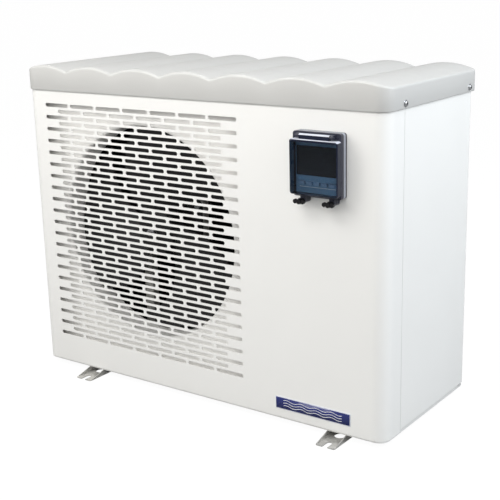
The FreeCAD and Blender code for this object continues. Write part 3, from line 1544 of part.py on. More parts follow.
def controller_cover():
    """The tinted cover, a shallow tray whose top edge carries the hinge barrel."""
    front = "cover_back + cover_deep"
    shell = front_box("cover_shell", "ctl_wide/2", front, "cover_base", "cover_deep", "cover_tall")
    shell = soften("cover_round", shell, "ctl_round", lambda e: along(e, "Y"))
    face = evaluate(f"-cab_depth/2 - ({front})")
    shell = soften("cover_soft", shell, "2.5", lambda e: abs(e.BoundBox.YMax - face) < 0.01)
    hollow = front_box(
        "cover_hollow", "ctl_wide/2 - cover_wall", f"{front} - cover_wall", "1", "cover_deep", "1"
    )
    hollow.setExpression(".Placement.Base.z", formula("cover_base + cover_wall"))
    bind(hollow, Height="cover_tall - 2*cover_wall")
    axis_y = "-cab_depth/2 - hinge_out"
    barrel = cylinder(
        "cover_barrel", "hinge_radius", "2*barrel_half", "ctl_x - barrel_half", axis_y, "hinge_z", "X"
    )
    web = box(
        "cover_web", "ctl_x - barrel_half", f"{axis_y} - hinge_radius", "1",
        "2*barrel_half", "2*hinge_radius", "1",
    )
    web.setExpression(".Placement.Base.z", formula("cover_base + cover_tall - 1"))
    bind(web, Height="hinge_z - cover_base - cover_tall + 1")
    bore = cylinder("cover_bore", "pin_bore", "120", "ctl_x - 60", axis_y, "hinge_z", "X")
    return node(
        cut("cover", fuse("cover_solid", cut("cover_tray", shell, hollow), barrel, web), bore),
        "controller_cover",
    )


def cover_hinge_pin():
    pin = cylinder(
        "pin", "pin_radius", "2*pin_half", "ctl_x - pin_half", "-cab_depth/2 - hinge_out", "hinge_z", "X"
    )
    return node(pin, "cover_hinge_pin")


def key_spot(i):
    """The formula for a key's centre in x."""
    return f"ctl_x + ({i} - (key_count - 1)/2)*key_pitch"


def display_panel():
    """The panel behind the cover, with a window and a hole for each key."""
    sheet = front_box("panel_sheet", "54", "panel_out", "ctl_inner_base + 1", "gauge", "ctl_inner_tall - 2")
    tools = [front_box("panel_window", "46", "panel_out + 2", "glass_base + 3", "8", "glass_tall - 6")]
    for i in range(int(size("key_count"))):
        half = "key_wide/2 + key_play"
        low = "key_z - key_tall/2 - key_play"
        tools.append(
            front_box(f"key_hole_{i}", half, "panel_out + 2", low, "8", "key_tall + 2*key_play", key_spot(i))
        )
    return node(cut("panel", sheet, *tools), "display_panel")


def display_board():
    """The controller's circuit board with its screen."""
    board = front_box("display_sheet", "45", "12.6", "ctl_inner_base + 8", "1.6", "ctl_inner_tall - 16")
    screen = front_box("display_screen", "44", "16.8", "glass_base + 4", "4.2", "glass_tall - 8")
    return node(fuse("display_solid", board, screen), "display_board")


def display_glass():
    glass = front_box("glass", "glass_wide/2", "panel_out + 1.5", "glass_base", "1.5", "glass_tall")
    return node(soften("glass_round", glass, "3", lambda e: along(e, "Y")), "display_glass")


def control_key(i):
    """A key with a wider flange that keeps it behind the panel."""
    name, middle = f"key_{i + 1}", key_spot(i)
    cap = front_box(
        name + "_cap", "key_wide/2", "panel_out + 4.4", "key_z - key_tall/2", "7", "key_tall", middle
    )
    cap = soften(name + "_round", cap, "2", lambda e: along(e, "Y"))
    flange = front_box(
        name + "_flange", "key_wide/2 + 1.3", "panel_out - 2.3", "1", "1", "key_tall + 2.6", middle
    )
    flange.setExpression(".Placement.Base.z", formula("key_z - key_tall/2 - 1.3"))
    return node(fuse(name + "_solid", cap, flange), name)


def wing_latch(side):
    """A quarter-turn latch: a pin in the base's boss, a stem and two wings."""
    name, sign = f"latch_{side}", "-" if side == "left" else "+"
    x, y = f"ctl_x {sign} latch_half", "-cab_depth/2 - ctl_box"
    parts = [
        cylinder(name + "_pin", "latch_pin", "14", x, f"{y} + 13.7", "latch_z", "-Y"),
        cylinder(name + "_stem", "5", "11", x, f"{y} - 0.3", "latch_z", "-Y"),
        cone(name + "_knob", "7", "5.5", "7", x, f"{y} - 11.3", "latch_z", "-Y"),
        front_box(name + "_wing", "13", "ctl_box + 17", "latch_z - 3", "5", "6", x),
    ]
    for i, end in enumerate(("-", "+")):
        tip = f"{x} {end} 9.5"
        parts.append(cylinder(f"{name}_lobe_{i}", "5", "5", tip, f"{y} - 12", "latch_z", "-Y"))
    return node(fuse(name + "_solid", *parts), name)


# ---------------------------------------------------------------- building and writing


def build():
    fill_sheet()
    for make in (base_tray, hex_bolts, drain_spout, front_panel, rear_panel, rear_guard, rear_post, top_lid):
        make()
    for side in ("left", "right"):
        foot_rail(side)
        side_panel(side)
        wing_latch(side)
    for make in (
        casing_screws, badge, fan_deck, partition_wall, motor_bracket, fan_motor, motor_shaft, fan_blades
    ):
        make()
    for make in (fan_nut, evaporator_fins, coil_end_plates, return_bends, compressor, compressor_grommets):
        make()
    for make in (
        accumulator, reversing_valve, expansion_valve, discharge_pipe, suction_pipe, gas_pipe, liquid_pipe
    ):
        make()
    for make in (exchanger_shell, titanium_coil, union_tails, flow_switch, electrical_box, control_board):
        make()
    for port in ("inlet", "outlet"):
        water_pipe(f"{port}_pipe", f"{port}_z")
        union_nut(f"union_nut_{port}", f"{port}_z")
    for make in (
        terminal_block, contactor, power_gland, controller_base, controller_gasket, controller_cover
    ):
        make()
    for make in (cover_hinge_pin, display_panel, display_board, display_glass):
        make()
    for i in range(int(size("key_count"))):
        control_key(i)


def check_document():
    """Stops at an object that failed to compute or a sub-part without a valid shape."""
    doc.recompute()
    for obj in doc.Objects:
        if "Invalid" in obj.State or "Error" in obj.State:
            raise RuntimeError(f"{obj.Name} failed: {obj.State}")
    for obj in nodes:
        if obj.Shape.isNull() or not obj.Shape.isValid():
            raise RuntimeError(f"{obj.Label} has no valid shape")


def write_parts():
    os.makedirs("parts", exist_ok=True)
    for obj in nodes:
        obj.Shape.exportStep(os.path.join("parts", obj.Label + ".step"))
        print(f"{obj.Label}: {len(obj.Shape.Solids)} solids, {obj.Shape.Volume / 1000:.1f} cm3")


build()
check_document()
write_parts()
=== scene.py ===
"""The looks of a pool heat pump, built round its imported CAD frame. Metres; X right, Y to the rear, Z up."""

import math

import bmesh
import bpy
from mathutils import Matrix, Vector


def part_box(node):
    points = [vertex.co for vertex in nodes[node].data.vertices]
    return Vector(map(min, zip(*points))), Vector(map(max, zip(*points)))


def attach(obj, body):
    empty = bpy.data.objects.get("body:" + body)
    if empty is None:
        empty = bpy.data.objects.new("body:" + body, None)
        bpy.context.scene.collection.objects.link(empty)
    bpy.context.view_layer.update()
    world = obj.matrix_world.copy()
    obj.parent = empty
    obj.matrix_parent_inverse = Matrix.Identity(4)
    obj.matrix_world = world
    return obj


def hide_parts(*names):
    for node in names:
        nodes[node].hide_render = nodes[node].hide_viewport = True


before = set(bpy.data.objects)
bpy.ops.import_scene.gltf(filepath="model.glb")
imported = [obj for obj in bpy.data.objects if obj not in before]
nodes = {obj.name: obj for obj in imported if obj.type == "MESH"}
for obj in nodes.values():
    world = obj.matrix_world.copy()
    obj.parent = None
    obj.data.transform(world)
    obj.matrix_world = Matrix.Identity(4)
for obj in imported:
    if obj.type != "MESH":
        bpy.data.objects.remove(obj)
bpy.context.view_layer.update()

MM = 0.001


# ---------------------------------------------------------------- small helpers


def srgb(red, green, blue):
    """A colour given as 0 to 255 screen values, as linear RGBA."""
    def linear(value):
        value /= 255
        return value / 12.92 if value <= 0.04045 else ((value + 0.055) / 1.055) ** 2.4

    return (linear(red), linear(green), linear(blue), 1.0)


def scaled(colour, factor):
    return tuple(min(1.0, c * factor) for c in colour[:3]) + (1.0,)


def add_object(name, mesh, smooth=True):
    for polygon in mesh.polygons:
        polygon.use_smooth = smooth
    made = bpy.data.objects.new(name, mesh)
    bpy.context.scene.collection.objects.link(made)
    return made


def from_bmesh(name, build, smooth=True):
    """A new object whose mesh is what build(bm) makes."""
    bm = bmesh.new()
    build(bm)
    return finish_bmesh(name, bm, smooth)


def finish_bmesh(name, bm, smooth=True):
    """Turns a finished bmesh into an object."""
    bmesh.ops.recalc_face_normals(bm, faces=bm.faces)
    mesh = bpy.data.meshes.new(name)
    bm.to_mesh(mesh)
    bm.free()
    return add_object(name, mesh, smooth)


def bevel(obj, width, angle=32, segments=2):
    """Rounds the edges of obj that turn by more than angle degrees."""
    mod = obj.modifiers.new("bevel", "BEVEL")
    mod.width = width * MM
    mod.segments = segments
    mod.limit_method = "ANGLE"
    mod.angle_limit = math.radians(angle)
    mod.harden_normals = True
    mod.use_clamp_overlap = True
    return obj


def smooth_by_angle(obj, angle=32):
    for polygon in obj.data.polygons:
        polygon.use_smooth = True
    obj.data.set_sharp_from_angle(angle=math.radians(angle))
    return obj


def settle(piece, body, slot, material, *replaced):
    """Gives a finished piece its material, its body and the CAD nodes that it stands for. The slot argument is
    not used.
    """
    piece.data.materials.clear()
    piece.data.materials.append(material)
    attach(piece, body)
    if replaced:
        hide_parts(*replaced)
    return piece


def lathe(bm, profile, steps, matrix=None):
    """Turns (radius, height) points round Z into a closed skin, and moves it by matrix."""
    rings = []
    for radius, height in profile:
        if radius < 1e-7:
            rings.append([bm.verts.new((0, 0, height))])
        else:
            ring = []
            for i in range(steps):
                turn = math.tau * i / steps
                ring.append(bm.verts.new((radius * math.cos(turn), radius * math.sin(turn), height)))
            rings.append(ring)
    for low, high in zip(rings, rings[1:]):
        for i in range(steps):
            j = (i + 1) % steps
            corners = [low[i % len(low)], low[j % len(low)], high[j % len(high)], high[i % len(high)]]
            unique = list(dict.fromkeys(corners))
            if len(unique) > 2:
                bm.faces.new(unique)
    made = [vert for ring in rings for vert in ring]
    if matrix is not None:
        bmesh.ops.transform(bm, matrix=matrix, verts=made)
    return made


def block(bm, low, high):
    """An axis-aligned box between two corners."""
    centre = (Vector(low) + Vector(high)) / 2
    extent = Vector(high) - Vector(low)
    made = bmesh.ops.create_cube(bm, size=1)["verts"]
    bmesh.ops.transform(bm, matrix=Matrix.Translation(centre) @ Matrix.Diagonal((*extent, 1)), verts=made)
    return made


# ---------------------------------------------------------------- materials


class Recipe:
    """A Principled material that is built up step by step."""

    def __init__(self, name, colour, roughness, metallic=0.0):
        self.material = bpy.data.materials.new(name)
        self.material.use_nodes = True
        self.tree = self.material.node_tree
        self.shader = self.tree.nodes["Principled BSDF"]
        self.shader.inputs["Base Color"].default_value = colour
        self.shader.inputs["Roughness"].default_value = roughness
        self.shader.inputs["Metallic"].default_value = metallic
        self.colour = colour
        self.normal = None
        self.place = self.add("ShaderNodeTexCoord").outputs["Object"]
        self.material.diffuse_color = colour

    def add(self, kind, **values):
        made = self.tree.nodes.new(kind)
        for name, value in values.items():
            if name in made.inputs:
                made.inputs[name].default_value = value
            else:
                setattr(made, name, value)
        return made

    def join(self, output, socket):
        self.tree.links.new(output, socket)

    def stretched(self, scale):
        """The object coordinates, scaled apart along X, Y and Z."""
        mapping = self.add("ShaderNodeMapping")
        mapping.inputs["Scale"].default_value = scale
        self.join(self.place, mapping.inputs["Vector"])
        return mapping.outputs["Vector"]

    def noise(self, scale, detail=3.0, place=None):
        made = self.add("ShaderNodeTexNoise", Scale=scale, Detail=detail)
        self.join(place or self.place, made.inputs["Vector"])
        return made.outputs["Fac"]

    def cells(self, scale, feature="F1", output="Color", place=None):
        made = self.add("ShaderNodeTexVoronoi", Scale=scale)
        made.feature = feature
        self.join(place or self.place, made.inputs["Vector"])
        return made.outputs[output]

    def remap(self, value, low, high, start=0.3, end=0.7):
        made = self.add("ShaderNodeMapRange")
        made.inputs["From Min"].default_value = start
        made.inputs["From Max"].default_value = end
        made.inputs["To Min"].default_value = low
        made.inputs["To Max"].default_value = high
        self.join(value, made.inputs["Value"])
        return made.outputs["Result"]

    def blend(self, factor, first, second):
        """Mixes two colours by factor. Each is a colour or a socket."""
        mix = self.add("ShaderNodeMix", data_type="RGBA")
        self.join(factor, mix.inputs[0])
        for socket, value in ((mix.inputs[6], first), (mix.inputs[7], second)):
            if isinstance(value, bpy.types.NodeSocket):
                self.join(value, socket)
            else:
                socket.default_value = value
        return mix.outputs[2]

    def paint(self, socket):
        self.join(socket, self.shader.inputs["Base Color"])
        return self

    def mottle(self, amount, scale, detail=4.0):
        """Lets the colour drift a little over the surface."""
        drift = self.remap(self.noise(scale, detail), 0.0, 1.0)
        return self.paint(self.blend(drift, scaled(self.colour, 1 - amount), scaled(self.colour, 1 + amount)))

    def gloss(self, low, high, scale, detail=4.0, place=None):
        self.join(self.remap(self.noise(scale, detail, place), low, high), self.shader.inputs["Roughness"])
        return self

    def bump(self, height, strength, depth):
        """Adds a bump of that depth in metres on top of earlier ones."""
        made = self.add("ShaderNodeBump", Strength=strength, Distance=depth)
        self.join(height, made.inputs["Height"])
        if self.normal:
            self.join(self.normal, made.inputs["Normal"])
        self.normal = made.outputs["Normal"]
        self.join(self.normal, self.shader.inputs["Normal"])
        return self


def powder_coat(name, colour, roughness=0.42):
    """Sprayed and baked paint: fine orange peel and a trace of drift in its gloss."""
    made = Recipe(name, colour, roughness)
    made.mottle(0.012, 3.0)
    made.gloss(roughness - 0.05, roughness + 0.06, 22)
    made.bump(made.noise(620, 2), 0.10, 0.0004)
    made.bump(made.noise(90, 2), 0.05, 0.0006)
    made.shader.inputs["Specular IOR Level"].default_value = 0.42
    return made.material


def moulded(name, colour, roughness, grain=900, depth=0.10, drift=0.03):
    """Injection-moulded plastic with a fine spark-eroded grain."""
    made = Recipe(name, colour, roughness)
    made.mottle(drift, 14.0)
    made.gloss(roughness - 0.05, roughness + 0.06, 60)
    made.bump(made.noise(grain, 3), depth, 0.0003)
    return made.material


def lid_plastic():
    """The lid's grey ASA: satin, with a leather-like grain and slight flow marks."""
    colour = srgb(201, 201, 199)
    made = Recipe("lid_plastic", colour, 0.4)
    made.mottle(0.018, 4.0)
    made.gloss(0.34, 0.46, 26)
    made.bump(made.cells(420, "SMOOTH_F1", "Distance"), 0.10, 0.0003)
    made.bump(made.noise(9, 2, made.stretched((1, 0.25, 1))), 0.03, 0.003)
    made.shader.inputs["Specular IOR Level"].default_value = 0.4
    return made.material


def galvanised(name="galvanised", colour=srgb(200, 199, 195), spangle=70):
    """Hot-dip zinc: crystals of different greys and gloss, with faint rolling marks."""
    made = Recipe(name, colour, 0.42, 0.45)
    crystals = made.cells(spangle)
    grey = made.add("ShaderNodeRGBToBW")
    made.join(crystals, grey.inputs[0])
    shade = made.remap(grey.outputs[0], 0.0, 1.0, 0.2, 0.9)
    made.paint(made.blend(shade, scaled(colour, 0.78), scaled(colour, 1.12)))
    made.join(made.remap(grey.outputs[0], 0.3, 0.52, 0.0, 1.0), made.shader.inputs["Roughness"])
    made.bump(made.cells(spangle, "DISTANCE_TO_EDGE", "Distance"), 0.05, 0.0003)
    made.bump(made.noise(60, 4, made.stretched((6, 0.3, 6))), 0.06, 0.0002)
    return made.material


def machined(name, colour, roughness=0.28, stretch=(1, 14, 1)):
    """Turned or drawn metal with fine marks along it."""
    made = Recipe(name, colour, roughness, 1.0)
    marks = made.noise(160, 4, made.stretched(stretch))
    made.join(made.remap(marks, roughness - 0.08, roughness + 0.14), made.shader.inputs["Roughness"])
    made.paint(made.blend(made.remap(marks, 0.0, 1.0), scaled(colour, 0.86), scaled(colour, 1.06)))
    made.bump(marks, 0.08, 0.0002)
    return made.material


def zinc_plate():
    return machined("zinc", srgb(196, 198, 200), 0.26, (3, 3, 3))


def copper():
    """Drawn copper with darker, duller patches where it was brazed and handled."""
    made = Recipe("copper", srgb(196, 122, 88), 0.3, 1.0)
    patches = made.remap(made.noise(26, 6), 0.0, 1.0, 0.42, 0.7)
    made.paint(made.blend(patches, srgb(200, 126, 92), srgb(112, 66, 48)))
    made.join(made.remap(made.noise(34, 4), 0.22, 0.5), made.shader.inputs["Roughness"])
    made.bump(made.noise(300, 3), 0.06, 0.0002)
    return made.material


def coated_fins_painted_shade():
    """Thin aluminium with a hydrophilic coating, its near-black blue partly the coating's colour and partly
    painted shade for the dim inside of the unit, with dust in random patches.
    """
    # near-black blue: partly the coating's colour, partly painted shade for the dim inside behind the fan
    colour = srgb(22, 28, 34)
    made = Recipe("fin_coating_painted_shade", colour, 0.5, 0.2)
    dust = made.remap(made.noise(30, 6), 0.0, 1.0, 0.45, 0.75)
    made.paint(made.blend(dust, colour, srgb(40, 46, 50)))
    made.gloss(0.4, 0.6, 50)
    made.bump(made.noise(240, 2, made.stretched((1, 1, 6))), 0.15, 0.0004)
    return made.material


def fan_plastic():
    """Glass-filled black polymer, matt, with flow marks along the blades."""
    colour = srgb(16, 16, 18)
    made = Recipe("fan_plastic", colour, 0.5)
    made.mottle(0.12, 18.0)
    made.gloss(0.42, 0.58, 40)
    made.bump(made.noise(500, 3), 0.10, 0.0003)
    made.bump(made.noise(24, 2), 0.05, 0.001)
    return made.material


def smoked_cover():
    """Tinted clear polycarbonate, polished, with hairline wiping marks."""
    made = Recipe("cover_smoke", srgb(211, 220, 227), 0.06)
    made.shader.inputs["Transmission Weight"].default_value = 1.0
    made.shader.inputs["IOR"].default_value = 1.28
    made.shader.inputs["Specular IOR Level"].default_value = 0.25
    marks = made.noise(130, 5, made.stretched((1, 1, 14)))
    made.join(made.remap(marks, 0.03, 0.10), made.shader.inputs["Roughness"])
    made.paint(made.blend(made.remap(made.noise(20, 3), 0.0, 1.0), srgb(207, 217, 225), srgb(214, 222, 229)))
    return made.material


def glossy_black(name, colour, roughness=0.16):
    """Polished black moulding with the faint ripple of its tool."""
    made = Recipe(name, colour, roughness)
    made.mottle(0.06, 30.0)
    made.gloss(roughness - 0.05, roughness + 0.08, 70)
    made.bump(made.noise(160, 2), 0.06, 0.0004)
    return made.material


def screen_glass():
    """A dark display behind gloss, with its unlit segments just visible."""
    made = Recipe("screen_glass", srgb(14, 17, 26), 0.08)
    segments = made.add("ShaderNodeTexBrick")
    segments.inputs["Scale"].default_value = 60
    segments.inputs["Mortar Size"].default_value = 0.012
    segments.inputs["Brick Width"].default_value = 0.7
    segments.inputs["Row Height"].default_value = 0.5
    segments.inputs["Color1"].default_value = srgb(15, 19, 28)
    segments.inputs["Color2"].default_value = srgb(17, 21, 31)
    segments.inputs["Mortar"].default_value = srgb(11, 13, 20)
    made.join(made.stretched((1, 1, 1)), segments.inputs["Vector"])
    made.paint(segments.outputs["Color"])
    made.gloss(0.05, 0.12, 40)
    return made.material


def circuit_board():
    """Green solder mask over copper tracks."""
    made = Recipe("circuit", srgb(18, 74, 44), 0.4)
    tracks = made.cells(160, "DISTANCE_TO_EDGE", "Distance")
    line = made.remap(tracks, 1.0, 0.0, 0.02, 0.06)
    made.paint(made.blend(line, srgb(16, 68, 40), srgb(30, 104, 62)))
    made.gloss(0.3, 0.45, 120)
    made.bump(line, 0.12, 0.0002)
    return made.material


def rubber(name, colour):
    made = Recipe(name, colour, 0.7)
    made.mottle(0.08, 40.0)
    made.gloss(0.6, 0.8, 80)
    made.bump(made.noise(700, 3), 0.2, 0.0003)
    return made.material


def printed(name, colour):
    """Gloss ink under a clear film."""
    made = Recipe(name, colour, 0.3)
    made.mottle(0.04, 60.0)
    made.gloss(0.16, 0.28, 90)
    made.shader.inputs["Coat Weight"].default_value = 0.2
    made.shader.inputs["Coat Roughness"].default_value = 0.08
    made.bump(made.noise(400, 2), 0.03, 0.0002)
    return made.material


white_paint = powder_coat("cabinet_white", srgb(240, 240, 238))
grey_lid = lid_plastic()
zinc_sheet = galvanised()
zinc = zinc_plate()
# black plastic for the power gland, also used as painted shade in the screws' cross recesses
black_plastic = moulded("black_plastic", srgb(20, 20, 23), 0.36)
controller_plastic = moulded("controller_grey", srgb(48, 50, 64), 0.3)
panel_blue = moulded("panel_blue", srgb(100, 132, 160), 0.38, 700)
seal = rubber("seal_grey", srgb(172, 176, 186))
steel = machined("shaft_steel", srgb(186, 186, 188), 0.24)
copper_tube = copper()
dark_paint = powder_coat("black_paint", srgb(28, 28, 30), 0.36)
motor_paint = powder_coat("motor_paint", srgb(22, 22, 24), 0.4)
pvc = moulded("pipe_pvc", srgb(206, 208, 210), 0.34, 500)
union_grey = moulded("union_grey", srgb(74, 78, 82), 0.42, 800)
circuit = circuit_board()
latch_black = glossy_black("latch_black", srgb(16, 16, 19))
brass = machined("brass", srgb(196, 164, 96), 0.3, (6, 6, 1))

# what each CAD node that stays is made of, its edge radius in mm and the angle above which an edge is sharp
FINISHES = {
    "front_panel": (white_paint, 0.7, 40),
    "left_panel": (white_paint, 0.6, 40),
    "right_panel": (white_paint, 0.6, 40),
    "rear_panel": (white_paint, 0.5, 40),
    "rear_guard": (white_paint, 0.5, 40),
    # the deck's white paint is set lighter than the cabinet's: partly its own colour, partly painted light for
    # the shaded deck behind the grille
    "fan_deck": (powder_coat("deck_white_painted_lighter", srgb(252, 251, 249)), 0.4, 40),
    "base_tray": (powder_coat("tray_paint", srgb(226, 226, 224), 0.45), 0.4, 40),
    "rail_left": (zinc_sheet, 0.5, 40),
    "rail_right": (zinc_sheet, 0.5, 40),
    "rear_post": (zinc_sheet, 0.3, 40),
    "partition_wall": (zinc_sheet, 0.3, 40),
    "motor_bracket": (zinc_sheet, 0.4, 40),
    "coil_end_plates": (zinc_sheet, 0.3, 40),
    "electrical_box": (zinc_sheet, 0.4, 40),
    "hex_bolts": (zinc, 0.4, 40),
    "drain_spout": (moulded("spout_plastic", srgb(40, 41, 44), 0.45), 0.5, 40),
    "fan_motor": (motor_paint, 0.8, 40),
    "motor_shaft": (steel, 0.2, 40),
    "fan_nut": (steel, 0.5, 40),
    "fan_blades": (fan_plastic(), 1.1, 34),
    "evaporator_bends": (copper_tube, 0, 60),
    "compressor": (dark_paint, 1.0, 40),
    "compressor_grommets": (rubber("grommet_rubber", srgb(24, 24, 24)), 0.8, 40),
    "accumulator": (dark_paint, 0, 60),
    "reversing_valve": (brass, 0.5, 40),
    "expansion_valve": (brass, 0.5, 40),
    "discharge_pipe": (copper_tube, 0, 60),
    "suction_pipe": (copper_tube, 0, 60),
    "gas_pipe": (copper_tube, 0, 60),
    "liquid_pipe": (copper_tube, 0, 60),
    "exchanger_shell": (moulded("shell_plastic", srgb(214, 214, 210), 0.4, 600), 1.0, 40),
    "titanium_coil": (machined("titanium", srgb(150, 146, 140), 0.34, (3, 3, 3)), 0, 60),
    "flow_switch": (moulded("switch_plastic", srgb(32, 33, 36), 0.4), 0.8, 40),
    "inlet_pipe": (pvc, 0.6, 40),
    "outlet_pipe": (pvc, 0.6, 40),
    "union_tails": (pvc, 0.8, 40),
    "union_nut_inlet": (union_grey, 1.0, 40),
    "union_nut_outlet": (union_grey, 1.0, 40),
    "control_board": (circuit, 0.5, 40),
    "terminal_block": (moulded("terminal_plastic", srgb(198, 190, 164), 0.42), 0.5, 40),
    "contactor": (moulded("contactor_plastic", srgb(58, 60, 64), 0.4), 0.8, 40),
    "power_gland": (black_plastic, 0.8, 40),
    "controller_base": (controller_plastic, 0.6, 34),
    "controller_gasket": (seal, 0.3, 40),
    "controller_cover": (smoked_cover(), 0.9, 34),
    "cover_hinge_pin": (steel, 0.3, 40),
    "display_panel": (panel_blue, 0.4, 40),
    "display_board": (circuit, 0.2, 40),
    "display_glass": (screen_glass(), 0.3, 40),
    "latch_left": (latch_black, 0.8, 34),
    "latch_right": (latch_black, 0.8, 34),
}


def finish_cad_nodes():
    """Gives every CAD node that stays its material and its softened edges."""
    key_finish = (moulded("key_grey", srgb(120, 146, 176), 0.3, 800), 0.6, 34)
    for name, node in nodes.items():
        if name.startswith("key_"):
            material, width, angle = key_finish
        elif name in FINISHES:
            material, width, angle = FINISHES[name]
        else:
            continue
        node.data.materials.clear()
        node.data.materials.append(material)
        smooth_by_angle(node, angle)
        if width:
            bevel(node, width, angle)


COVER_WALL = 3.2 * MM
COVER_BARREL = 16 * MM


def finish_cover():
    """Only the cover's face is a clear window: its walls are dark as painted shade, their inner faces take the
    panel's blue, and its top, barrel and rounded edges are pale grey as a painted highlight.
    """
    cover = nodes["controller_cover"]
    # dark glossy walls on the clear cover: painted shade standing in for the dark look of its refracting walls
    cover.data.materials.append(glossy_black("cover_walls_painted_shade", srgb(26, 32, 50), 0.12))
    # pale grey on the cover's top, hinge barrel and bevelled edges: a painted highlight
    cover.data.materials.append(moulded("cover_painted_highlight", srgb(200, 204, 216), 0.16, 300, 0.03))
    cover.data.materials.append(moulded("cover_inside", srgb(84, 112, 140), 0.3, 700))
    low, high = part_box("controller_cover")
    middle = (low.x + high.x) / 2
    for face in cover.data.polygons:
        spot = face.center
        below = high.z - COVER_BARREL - spot.z
        rim = min(spot.x - low.x, high.x - spot.x, spot.z - low.z, below) < COVER_WALL
        painted_highlight_face = below < COVER_WALL and face.normal.z > 0.35
        inside = rim and face.normal.x * (spot.x - middle) < -0.5 * abs(spot.x - middle)
        face.material_index = 2 if painted_highlight_face else 3 if inside else int(rim)
    # the bevel's rounded edges get the pale painted highlight
    cover.modifiers["bevel"].material = 2


KEY_LINE_DROP = 3.2 * MM
KEY_LINE_HALF = 0.45 * MM
KEY_LINE_PROUD = 0.25 * MM
KEY_LINE_SUNK = 0.3 * MM


def finish_keys():
    """The keys are the panel's blue with pale edges as a painted highlight, over a thin pale printed line."""
    pale = moulded("key_edge_highlight_and_line_print", srgb(226, 232, 242), 0.3, 800)
    for name, node in nodes.items():
        if name.startswith("key_"):
            node.data.materials.append(pale)
            # the keys' bevelled edges get the pale colour: a painted highlight
            node.modifiers["bevel"].material = 1
    first, last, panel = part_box("key_1"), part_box("key_5"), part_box("display_panel")
    left, right = min(first[0].x, last[0].x), max(first[1].x, last[1].x)
    level = first[0].z - KEY_LINE_DROP
    face = panel[0].y

    def line(bm):
        start = (left, face - KEY_LINE_PROUD, level - KEY_LINE_HALF)
        block(bm, start, (right, face + KEY_LINE_SUNK, level + KEY_LINE_HALF))

    made = bevel(from_bmesh("key_line", line), 0.15)
    settle(made, "cabinet", "key_grey", pale)


# ---------------------------------------------------------------- lid


LID_WAVES = 7
LID_RISE = 15 * MM
LID_WALL = 3 * MM
LID_RIM = 6.5 * MM
LID_HEM = 0.6 * MM
LID_COLUMNS = 98
LID_ROWS = 10
RIM_STEPS = 6
FRONT_CORNER = 36 * MM
REAR_CORNER = 14 * MM
VALLEY_SOFTNESS = 1.6 * MM


def wave_height(x, half, level):
    """The lid's top at x: arcs side by side, with the valleys between them slightly filled."""
    chord = half / LID_WAVES
    radius = (chord**2 + LID_RISE**2) / (2 * LID_RISE)
    offset = (x + half) % (2 * chord) - chord
    rise = math.sqrt(radius**2 - offset**2) - (radius - LID_RISE)
    filled = VALLEY_SOFTNESS * (1 - rise / LID_RISE)
    return level + math.sqrt(rise**2 + filled**2)


def lid_outline(low, high, count):
    """Points inset by the rim along the front and rear, at the same x places, with their outward directions."""
    half = high.x
    stations = {round(-half + LID_RIM + (2 * half - 2 * LID_RIM) * i / count, 6) for i in range(count + 1)}
    chord = half / LID_WAVES
    for i in range(1, LID_WAVES):
        stations |= {round(-half + 2 * chord * i + step * MM, 6) for step in (-5, -2.5, 0, 2.5, 5)}
    for corner in (FRONT_CORNER, REAR_CORNER):
        inner = corner - LID_RIM
        for i in range(9):
            x = half - corner + inner * math.sin(math.pi / 2 * i / 8)
            stations |= {round(x, 6), round(-x, 6)}

    def edge(x, corner, reach):
        """The point and direction on the edge whose y is reach."""
        sign = math.copysign(1, reach)
        past = abs(x) - (half - corner)
        inner = corner - LID_RIM
        if past <= 0:
            return Vector((x, reach - sign * LID_RIM, 0)), Vector((0, sign, 0))
        lean = math.asin(min(1.0, past / inner))
        direction = Vector((math.copysign(math.sin(lean), x), sign * math.cos(lean), 0))
        centre = Vector((math.copysign(half - corner, x), reach - sign * corner, 0))
        return centre + direction * inner, direction

    front = [edge(x, FRONT_CORNER, low.y) for x in sorted(stations)]
    rear = [edge(x, REAR_CORNER, high.y) for x in sorted(stations)]
    return front, rear


def lid():
    """The waved lid: a grid for its top, a rounded rim that follows the waves, and a skirt with a small hem."""
    low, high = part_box("top_lid")
    half = high.x
    level = high.z - LID_RISE
    front, rear = lid_outline(low, high, LID_COLUMNS)
    bm = bmesh.new()
    grid = []
    for (start, _), (end, _) in zip(front, rear):
        column = []
        for k in range(LID_ROWS + 1):
            spot = start.lerp(end, k / LID_ROWS)
            column.append(bm.verts.new((spot.x, spot.y, wave_height(spot.x, half, level))))
        grid.append(column)
    for left, right in zip(grid, grid[1:]):
        for k in range(LID_ROWS):
            bm.faces.new((left[k], right[k], right[k + 1], left[k + 1]))
    loop = [(column[0], way) for column, (_, way) in zip(grid, front)]
    loop += [(vert, Vector((1, 0, 0))) for vert in grid[-1][1:-1]]
    loop += [(column[-1], way) for column, (_, way) in reversed(list(zip(grid, rear)))]
    loop += [(vert, Vector((-1, 0, 0))) for vert in reversed(grid[0][1:-1])]
    ring = [vert for vert, _ in loop]
    starts = [vert.co.copy() for vert in ring]
    profile = [
        (LID_RIM * math.sin(a), -LID_RIM * (1 - math.cos(a)))
        for a in (math.pi / 2 * i / RIM_STEPS for i in range(1, RIM_STEPS + 1))
    ]
    for reach, drop in profile:
        rim = [(start + way * reach, start.z + drop) for start, (_, way) in zip(starts, loop)]
        ring = add_ring(bm, ring, [(spot.x, spot.y, z) for spot, z in rim])
    for level_z, reach in ((low.z + LID_HEM, LID_RIM), (low.z, LID_RIM - LID_HEM / 2)):
        skirt = [start + way * reach for start, (_, way) in zip(starts, loop)]
        ring = add_ring(bm, ring, [(spot.x, spot.y, level_z) for spot in skirt])
    shell = finish_bmesh("lid_shell", bm)
    solid = shell.modifiers.new("wall", "SOLIDIFY")
    solid.thickness = LID_WALL
    solid.offset = -1
    solid.use_even_offset = True
    return settle(shell, "cabinet", "lid_plastic", grey_lid, "top_lid")


